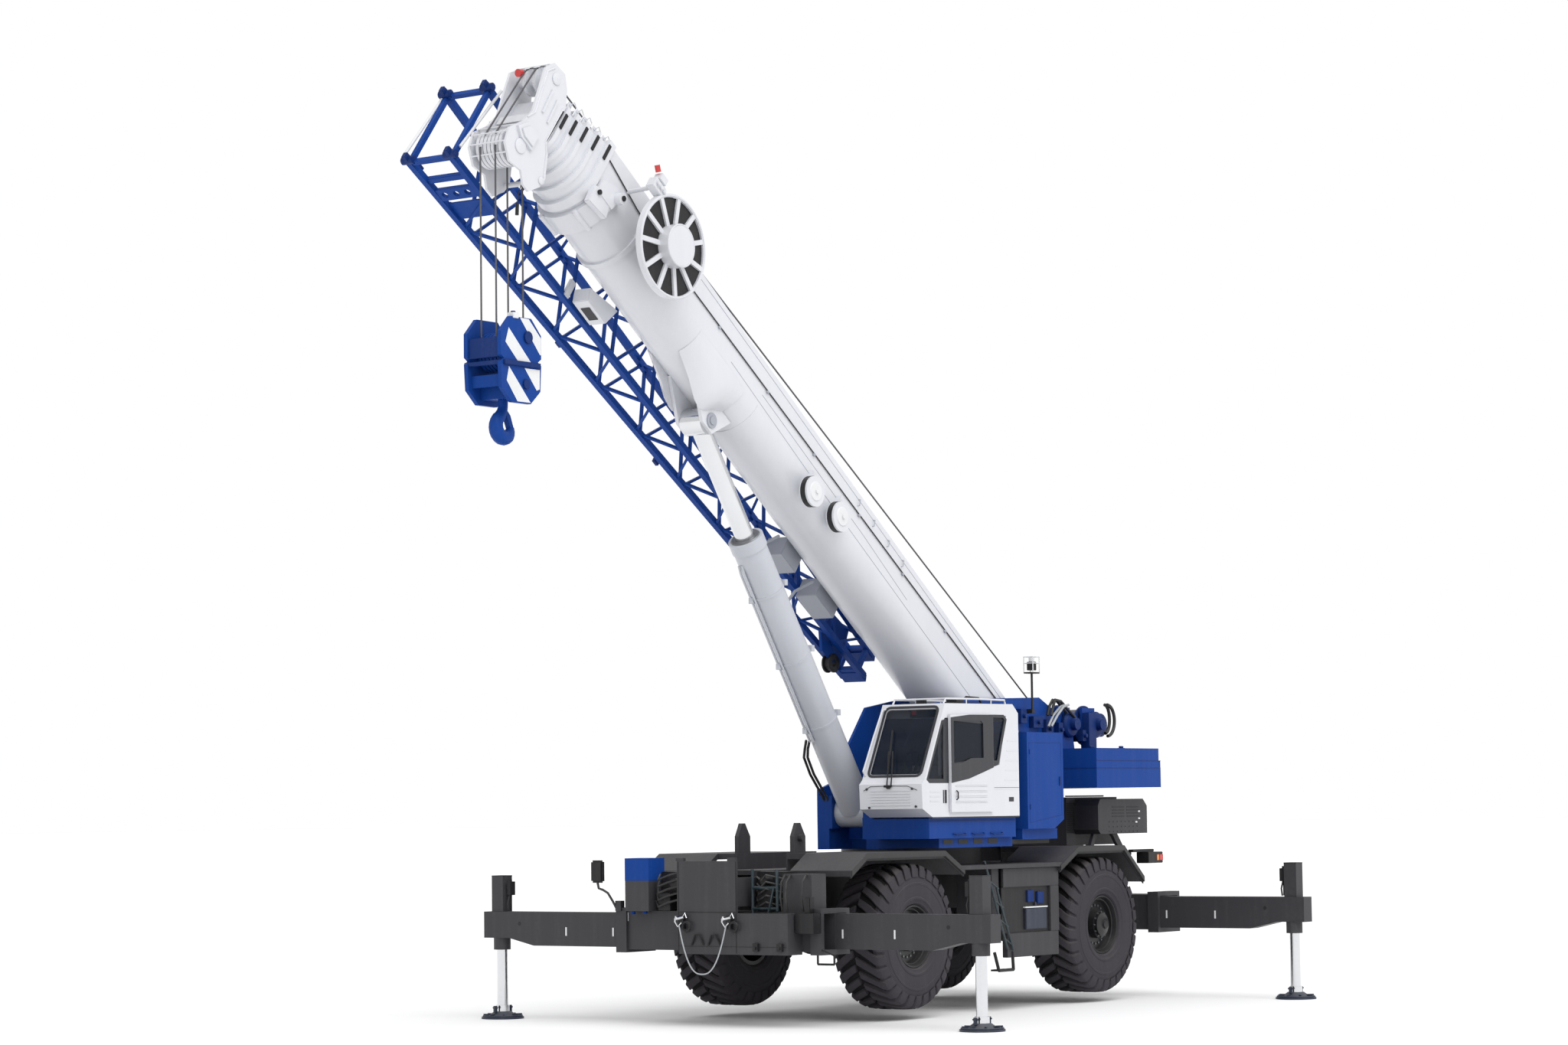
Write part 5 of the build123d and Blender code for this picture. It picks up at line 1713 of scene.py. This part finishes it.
    def _rope(self) -> None:
        """Hoist rope from the main drum along the boom's top to the head."""
        start = Vector(at(-3.16, 0.06, 4.078))
        end = Vector(on_boom(11.36, 0.06, 0.88))
        route = [tuple(start.lerp(end, k / 24)) for k in range(25)]
        rope = Form().pipe(route, 0.011, 8)
        mesh = rope.mesh("hoist_rope")
        mesh.materials.append(ROPE.material())
        made = bpy.data.objects.new("hoist_rope", mesh)
        bpy.context.scene.collection.objects.link(made)
        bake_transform(made)
        far = Form(on_boom).pipe([(11.38, 0.06, 0.88), (11.9, 0.07, 0.86), (12.50, 0.08, 0.835)], 0.011, 8)
        far.piece("hoist_rope_head", ROPE, "boom_6")
        guide = Form(on_boom)
        for y in (-0.05, 0.156):
            guide.prism(flat(y, (11.30, 0.665), (11.42, 0.665), (11.40, 0.86), (11.33, 0.86)), (0, 0.014, 0))
        guide.rod((11.365, -0.05, 0.845), (11.365, 0.17, 0.845), 0.02, 14)
        guide.piece("rope_guide", WHITE, "boom_base", 0.002)


@dataclass
class Head:
    """Ropes, guards, lamp, stripe and covers of the boom head."""

    sheave_u: float = 12.567
    top_w: float = 0.658
    nose_w: float = -0.477
    nose_guard: float = 0.262
    side_y: float = 0.294

    def build(self) -> None:
        """Builds the head's pieces."""
        self._guards()
        self._covers()
        self._lamp()

    def _guards(self) -> None:
        """Rope down the head's front, and guards round the top sheaves."""
        ropes = Form(on_boom)
        for y in (-0.08, 0.08):
            ropes.pipe(flat(y, (self.sheave_u + 0.06, self.top_w + 0.172), (self.sheave_u + 0.15, self.top_w + 0.10),
                            (self.sheave_u + 0.183, self.top_w), (self.sheave_u + 0.247, self.nose_w)), 0.011, 8)
        ropes.piece("head_ropes", ROPE, "boom_6")
        guard = Form(on_boom)
        outer, inner = [], []
        for k in range(9):
            t = math.radians(15 + 17.5 * k)
            for rim, r in ((outer, 0.192), (inner, 0.186)):
                rim.append((r * math.cos(t), r * math.sin(t)))
        ring = outer + inner[::-1]
        for y in (-0.125, 0.035):
            guard.prism([(self.sheave_u + a, y, self.top_w + b) for a, b in ring], (0, 0.09, 0))
        for k in range(4):
            t = math.radians(35 + 40 * k)
            u, w = self.sheave_u + 0.188 * math.cos(t), self.top_w + 0.184 * math.sin(t)
            guard.rod((u, -0.25, w), (u, 0.25, w), 0.008, 8)
        for k in range(5):
            t = math.radians(-60 + 30 * k)
            u, w = self.sheave_u + self.nose_guard * math.cos(t), self.nose_w + self.nose_guard * math.sin(t)
            guard.rod((u, -0.27, w), (u, 0.27, w), 0.010, 8)
        guard.piece("head_guards", WHITE, "boom_6", 0.002)

    def _covers(self) -> None:
        """Edge ribs, hub caps and bolt rings on the head's side plates, and the dark stripe."""
        cover = Form(on_boom)
        for side in SIDES:
            y = side * self.side_y
            for u, w, r in ((self.sheave_u, self.nose_w, 0.095), (self.sheave_u, self.top_w, 0.075),
                            (12.04, -0.545, 0.05)):
                cover.lathe((u, y, w), (0, side, 0), [(0.001, 0), (r, 0), (r, 0.014), (r * 0.7, 0.022),
                    (0.001, 0.024)], 24)
            line = [(12.26, 0.46), (12.26, -0.10), (12.17, -0.20), (12.03, -0.48)]
            cover.pipe(flat(y + side * 0.002, *line), 0.010, 8)
            front = [(12.68, -0.10), (12.61, 0.05), (12.69, 0.42), (12.74, 0.62), (12.66, 0.76)]
            cover.pipe(flat(y + side * 0.002, *front), 0.012, 8)
            for u, w0, w1 in ((12.36, 0.10, 0.46), (12.50, 0.14, 0.50)):
                cover.prism(flat(y, (u, w0), (u + 0.03, w0), (u + 0.05, w1), (u + 0.02, w1)), (0, side * 0.02, 0))
            cover.prism(flat(side * 0.33, (12.43, -0.19), (12.61, -0.19), (12.70, -0.32), (12.61, -0.365),
                             (12.43, -0.365)), (0, side * 0.02, 0))
        cover.prism([(12.605, -0.25, -0.08), (12.605, 0.25, -0.08), (12.605, 0.25, 0.02), (12.605, -0.25, 0.02)],
                    tuple(ALONG * 0.012))
        cover.piece("head_covers", WHITE, "boom_6", 0.003)
        stripe = Form(on_boom)
        for side in SIDES:
            y = side * self.side_y
            stripe.prism(flat(y, (12.227, 0.44), (12.242, 0.44), (12.258, -0.08), (12.243, -0.08)),
                         (0, side * 0.006, 0))
        stripe.piece("head_stripes", BLACK, "boom_6")
        bolts = [looking(on_boom(self.sheave_u, side * (self.side_y + 0.037), -0.27), (0, side, 0)) for side in SIDES]
        Repeat(Layout.RING, Item.BOLT, 8, 0.05, (0.008, 0.008, 0.012)).piece("head_bolts", STEEL, "boom_6", bolts)

    def _lamp(self) -> None:
        """Lamp, aerial and hoist limit switch on the head."""
        arm = Form(on_boom).pipe([(12.68, -0.10, 0.74), (12.74, -0.12, 0.70), (12.78, -0.12, 0.62)], 0.012, 8)
        arm.rod((12.60, -0.30, 0.66), (12.44, -0.52, 0.72), 0.010, 8)
        arm.piece("head_aerial", CABLE, "boom_6")
        lamp = Form(on_boom).rod((12.755, -0.12, 0.645), (12.80, -0.12, 0.60), 0.05, 18)
        lamp.piece("head_lamp", RED, "boom_6")
        switch = Form(on_boom).pipe(flat(0.20, (12.20, -0.74), (12.18, -0.86), (12.12, -0.98)), 0.006, 6)
        switch.rod((12.12, 0.20, -0.98), (12.04, 0.20, -1.10), 0.022, 12)
        switch.piece("limit_switch", BLACK, "boom_6")


@dataclass
class Jib:
    """Poles, pins and plates of the stowed jib."""

    def build(self) -> None:
        """Builds the jib's pieces."""
        poles = Form(on_boom)
        poles.rod((12.76, -1.36, -0.60), (12.67, -1.36, 0.54), 0.020, 12)
        poles.rod((12.66, -0.60, -0.44), (12.52, -0.60, 0.66), 0.020, 12)
        poles.piece("jib_poles", STRIPE, "boom_base")
        pins = Form(on_boom)
        for y in (-0.64, -1.31):
            for w in (-0.60, 0.54):
                pins.rod((12.70, y - 0.09, w), (12.70, y + 0.09, w), 0.052, 16)
                pins.prism(flat(y - 0.03, (12.70, w - 0.05), (12.80, w - 0.04), (12.80, w + 0.04), (12.70, w + 0.05)),
                           (0, 0.06, 0))
        for u, w in ((12.45, -0.55), (11.75, -0.53), (9.2, -0.42), (6.8, -0.32)):
            pins.prism(oblong(-1.34, u, u + 0.10, w - 0.06, w + 0.06), (0, 0.05, 0))
        pins.piece("jib_pins", BLUE_IN_SHADE, "boom_base", 0.004)
        plates = Form(on_boom)
        plates.prism(flat(-0.86, (2.50, -0.34), (2.95, -0.42), (3.15, -0.20), (3.05, 0.16), (2.62, 0.20)),
                     (0, -0.05, 0))
        plates.prism([(11.62, -0.68, -0.56), (11.90, -0.68, -0.56), (11.90, -1.27, -0.56), (11.62, -1.27, -0.56)],
                     tuple(RISE * 0.02))
        plates.prism([(12.28, -0.66, -0.60), (12.36, -0.66, -0.60), (12.36, -1.29, -0.60), (12.28, -1.29, -0.60)],
                     tuple(RISE * 0.06))
        for w in (-0.18, 0.18):
            plates.prism(flat(-0.74, (2.02, w - 0.045), (2.22, w - 0.045), (2.22, w + 0.045), (2.06, w + 0.045)),
                         (0, -0.36, 0))
        plates.piece("jib_plates", BLUE, "boom_base", 0.004)
        drum = Form(on_boom).lathe((2.66, -0.84, -0.40), (0, -1, 0),
                                   [(0.05, 0.0), (0.13, 0.0), (0.13, 0.02), (0.10, 0.03), (0.10, 0.09), (0.13, 0.10),
                                    (0.13, 0.12), (0.05, 0.12)], 26)
        drum.piece("jib_drum", BLACK, "boom_base")


@dataclass
class Reel:
    """Rim lip and hub face of the large cord reel."""

    u: float = 10.24
    y: float = 0.85

    def build(self) -> None:
        """Builds the reel."""
        lip = Form(on_boom).ring((self.u, self.y + 0.075, 0), (0, 1, 0), 0.630, 0.012, 56)
        lip.ring((self.u, self.y + 0.2, 0), (0, 1, 0), 0.258, 0.008, 40)
        lip.lathe((self.u, self.y + 0.2, 0), (0, 1, 0), [(0.0015, -0.002), (0.25, -0.002), (0.25, 0.003),
            (0.0015, 0.003)], 40)
        lip.piece("reel_lip", WHITE, "cord_reel")


@dataclass
class Hoist:
    """Stripes, pins, weights and hook shape of the hook block."""

    # rows: corners of a white band on a cheek, X from the block's middle and Z
    bands: tuple[tuple[tuple[float, float], ...], ...] = (
        ((0.227, 8.41), (-0.204, 8.00), (0.042, 8.005), (0.288, 8.235)),
        ((0.02, 8.545), (-0.142, 8.54), (-0.365, 8.33), (-0.365, 8.13), (-0.345, 8.13)),
        ((0.227, 7.95), (-0.165, 7.545), (0.075, 7.545), (0.27, 7.78)),
        ((-0.06, 7.95), (-0.34, 7.95), (-0.335, 7.72), (-0.28, 7.70)))

    def build(self) -> None:
        """Builds the hoist's pieces."""
        low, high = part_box("hook_block")
        mid = (low.x + high.x) / 2
        stripes = Form()
        pins = Form()
        for side in SIDES:
            y = side * (high.y + 0.0006)
            for band in self.bands:
                stripes.prism([(mid + x, y, z) for x, z in band], (0, side * 0.002, 0))
            for x, z, r in ((-0.12, 8.32, 0.075), (-0.08, 7.76, 0.06)):
                pins.rod((mid + x, y, z), (mid + x, y + side * 0.022, z), r, 20)
            pins.box((mid - 0.33, y, 7.965), (mid + 0.33, y + side * 0.03, 8.025))
        stripes.piece("block_stripes", STRIPE, "hook_block")
        for x in (-0.335, 0.335):
            pins.rod((mid + x, low.y + 0.02, 7.995), (mid + x, high.y - 0.02, 7.995), 0.028, 12)
            pins.box((mid + x - 0.012, -0.23, 8.06), (mid + x + 0.012, 0.23, 8.30))
        pins.rod((mid + 0.10, 0.25, 8.54), (mid + 0.10, 0.25, 8.62), 0.03, 12)
        pins.piece("block_pins", BLUE_IN_SHADE, "hook_block", 0.004)
        becket = Form().box((mid + 0.05, 0.20, 8.53), (mid + 0.15, 0.30, 8.60))
        becket.piece("block_becket", STRIPE, "hook_block", 0.006)
        self._hook(mid)

    def _hook(self, mid: float) -> None:
        """The hook, with a thick round bowl and its safety latch.

        Args:
            mid: X of the hook's axis.
        """
        low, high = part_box("hook")
        centre_z = low.z + 0.218
        hook = Form()
        sections = []
        path = [(0.0, high.z - 0.005, 0.062), (0.0, low.z + 0.46, 0.060), (0.015, low.z + 0.40, 0.066)]
        for k in range(15):
            t = math.radians(64 - 17.5 * k)
            thick = 0.076 + 0.017 * math.sin(math.pi * k / 14) - 0.010 * max(k - 11, 0)
            path.append((0.132 * math.cos(t), centre_z + 0.132 * math.sin(t), thick))
        for i, (x, z, thick) in enumerate(path):
            x0, z0, _ = path[max(i - 1, 0)]
            x1, z1, _ = path[min(i + 1, len(path) - 1)]
            ahead = Vector((x1 - x0, 0, z1 - z0)).normalized()
            across = Vector((ahead.z, 0, -ahead.x))
            ring = []
            for k in range(14):
                a = math.tau * k / 14
                spot = Vector((mid + x, 0, z)) + across * thick * math.cos(a) + Vector((0, 0.95 * thick * math.sin(a),
                    0))
                ring.append(tuple(spot))
            sections.append(ring)
        hook.loft(sections)
        made = hook.piece("hook_bowl", BLUE, "hook")
        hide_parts("hook")
        latch = Form().prism(flat(-0.035, (mid - 0.02, low.z + 0.44), (mid - 0.10, low.z + 0.36),
                                  (mid - 0.165, centre_z - 0.02), (mid - 0.09, centre_z - 0.02),
                                  (mid - 0.03, low.z + 0.33)), (0, 0.07, 0))
        latch.piece("hook_latch", BLUE, "hook", 0.006)


@dataclass
class Cylinder:
    """Bands, pipe and hoses of the lift cylinder."""

    foot: tuple[float, float] = (1.25, 2.655)
    along: tuple[float, float] = (0.569729, 0.821832)

    def on_barrel(self, s: float, y: float, t: float) -> Point:
        """A point beside the barrel.

        Args:
            s: distance from the foot along the barrel.
            y: distance to the left.
            t: distance behind the barrel's axis.

        Returns:
            The point in the part's frame.
        """
        a, b = self.along
        return at(self.foot[0] + s * a - t * b, y, self.foot[1] + s * b + t * a)

    def build(self) -> None:
        """Builds the cylinder's pieces."""
        axis = (self.along[0], 0, self.along[1])
        bands = Form()
        for s in (1.47, 2.48, 3.50):
            bands.lathe(self.on_barrel(s, 0, 0), axis, [(0.215, -0.02), (0.229, -0.02), (0.229, 0.02), (0.215, 0.02)],
                        40)
            for y, t in ((-0.10, -0.235), (0.16, 0.19)):
                x, _, z = self.on_barrel(s, y, t)
                bands.box((x - 0.035, y - 0.035, z - 0.04), (x + 0.035, y + 0.035, z + 0.04))
        bands.piece("barrel_bands", CYLINDER, "lift_barrel", 0.004)
        pipe = Form(self.on_barrel)
        for k in range(2):
            y = -0.10 + 0.055 * k
            pipe.pipe(flat(y, (1.30, -0.245), (3.9, -0.245), (4.02, -0.22)), 0.015, 10)
        pipe.piece("barrel_pipes", CYLINDER, "lift_barrel")
        ring = Form(self.on_barrel).lathe((4.312, 0, 0), axis, [(0.128, 0), (0.20, 0), (0.19, 0.012), (0.128, 0.014)],
            40)
        ring.piece("gland_ring", STEEL, "lift_barrel")
        upper = Form(self.on_barrel)
        lower = Form()
        for k in range(2):
            y = -0.31 - 0.06 * k
            upper.pipe([(1.32, -0.10 - 0.055 * k, -0.245), (1.16, -0.22 - 0.05 * k, -0.20), (0.98, y - 0.03, -0.13),
                        (0.70, y - 0.05, -0.12), (0.36, y - 0.02, -0.10)], 0.018, 10)
            lower.pipe([self.on_barrel(0.36, y - 0.02, -0.10), self.on_barrel(0.20, y, -0.11), at(1.44, y, 2.72)],
                       0.018, 10)
        upper.piece("barrel_hoses", HOSE, "lift_barrel")
        lower.piece("foot_hoses", HOSE, "turntable")


@dataclass
class Studio:
    """Floor, light and camera."""

    eye: Point = (42.1149, 28.3625, 2.737)
    yaw: float = -2.516
    pitch: float = 0.0763
    roll: float = -0.0127
    lens: float = 85.4
    sensor: float = 36.0
    floor_half: float = 400.0
    floor_drop: float = 0.002
    world_light: float = 0.8
    world_seen_more: float = 0.2
    sun_power: float = 1.8
    sun_angle: float = 0.9
    sun_aim: Point = (-0.25, -0.75, -1.0)

    def build(self) -> None:
        """Builds the studio."""
        self._floor()
        self._lights()
        self._camera()

    def _floor(self) -> None:
        """A wide pale floor."""
        h, z = self.floor_half, -self.floor_drop
        mesh = bpy.data.meshes.new("floor")
        mesh.from_pydata([(-h, -h, z), (h, -h, z), (h, h, z), (-h, h, z)], [], [(0, 1, 2, 3)])
        floor = bpy.data.objects.new("floor", mesh)
        bpy.context.scene.collection.objects.link(floor)
        made = bpy.data.materials.new("floor_white")
        made.use_nodes = True
        shader = made.node_tree.nodes["Principled BSDF"]
        shader.inputs["Base Color"].default_value = (0.93, 0.93, 0.93, 1.0)
        shader.inputs["Roughness"].default_value = 0.9
        mesh.materials.append(made)

    def _lights(self) -> None:
        """An even white world and one broad soft sun."""
        world = bpy.data.worlds.new("studio")
        bpy.context.scene.world = world
        world.use_nodes = True
        world.node_tree.nodes.clear()
        g = Graph(world.node_tree)
        seen = g.node("ShaderNodeLightPath", output="Is Camera Ray")
        strength = seen * self.world_seen_more + self.world_light
        back = g.node("ShaderNodeBackground", inputs={"Color": (1.0, 1.0, 1.0, 1.0), "Strength": strength})
        g.node("ShaderNodeOutputWorld", inputs={"Surface": back})
        sun = bpy.data.lights.new("soft_sun", "SUN")
        sun.energy = self.sun_power
        sun.angle = self.sun_angle
        lamp = bpy.data.objects.new("soft_sun", sun)
        lamp.rotation_euler = Vector(self.sun_aim).to_track_quat("-Z", "Y").to_euler()
        bpy.context.scene.collection.objects.link(lamp)

    def _camera(self) -> None:
        """The camera, turned by its yaw, pitch and roll."""
        ahead = Vector((math.cos(self.yaw), math.sin(self.yaw), 0))
        right = Vector((math.sin(self.yaw), -math.cos(self.yaw), 0))
        up = Vector((0, 0, 1))
        aim = ahead * math.cos(self.pitch) + up * math.sin(self.pitch)
        top = up * math.cos(self.pitch) - ahead * math.sin(self.pitch)
        across = right * math.cos(self.roll) + top * math.sin(self.roll)
        upright = top * math.cos(self.roll) - right * math.sin(self.roll)
        data = bpy.data.cameras.new("camera")
        data.lens = self.lens
        data.sensor_width = self.sensor
        data.clip_end = 1000.0
        camera = bpy.data.objects.new("camera", data)
        turned = Matrix((across, upright, -aim)).transposed().to_4x4()
        camera.matrix_world = Matrix.Translation(at(*self.eye)) @ turned
        bpy.context.scene.collection.objects.link(camera)
        bpy.context.scene.camera = camera
        bpy.context.scene.view_settings.view_transform = "Standard"


def main() -> None:
    """Builds everything."""
    logging.basicConfig(level=logging.INFO, format="%(message)s")
    for assembly in (Paintwork(), Wheels(), Outriggers(), Carrier(), Turntable(), Cab(), Boom(), Head(), Jib(),
                     Reel(), Hoist(), Cylinder(), Studio()):
        assembly.build()
        log.info("%s done", type(assembly).__name__)


if __name__ == "__main__":
    main()
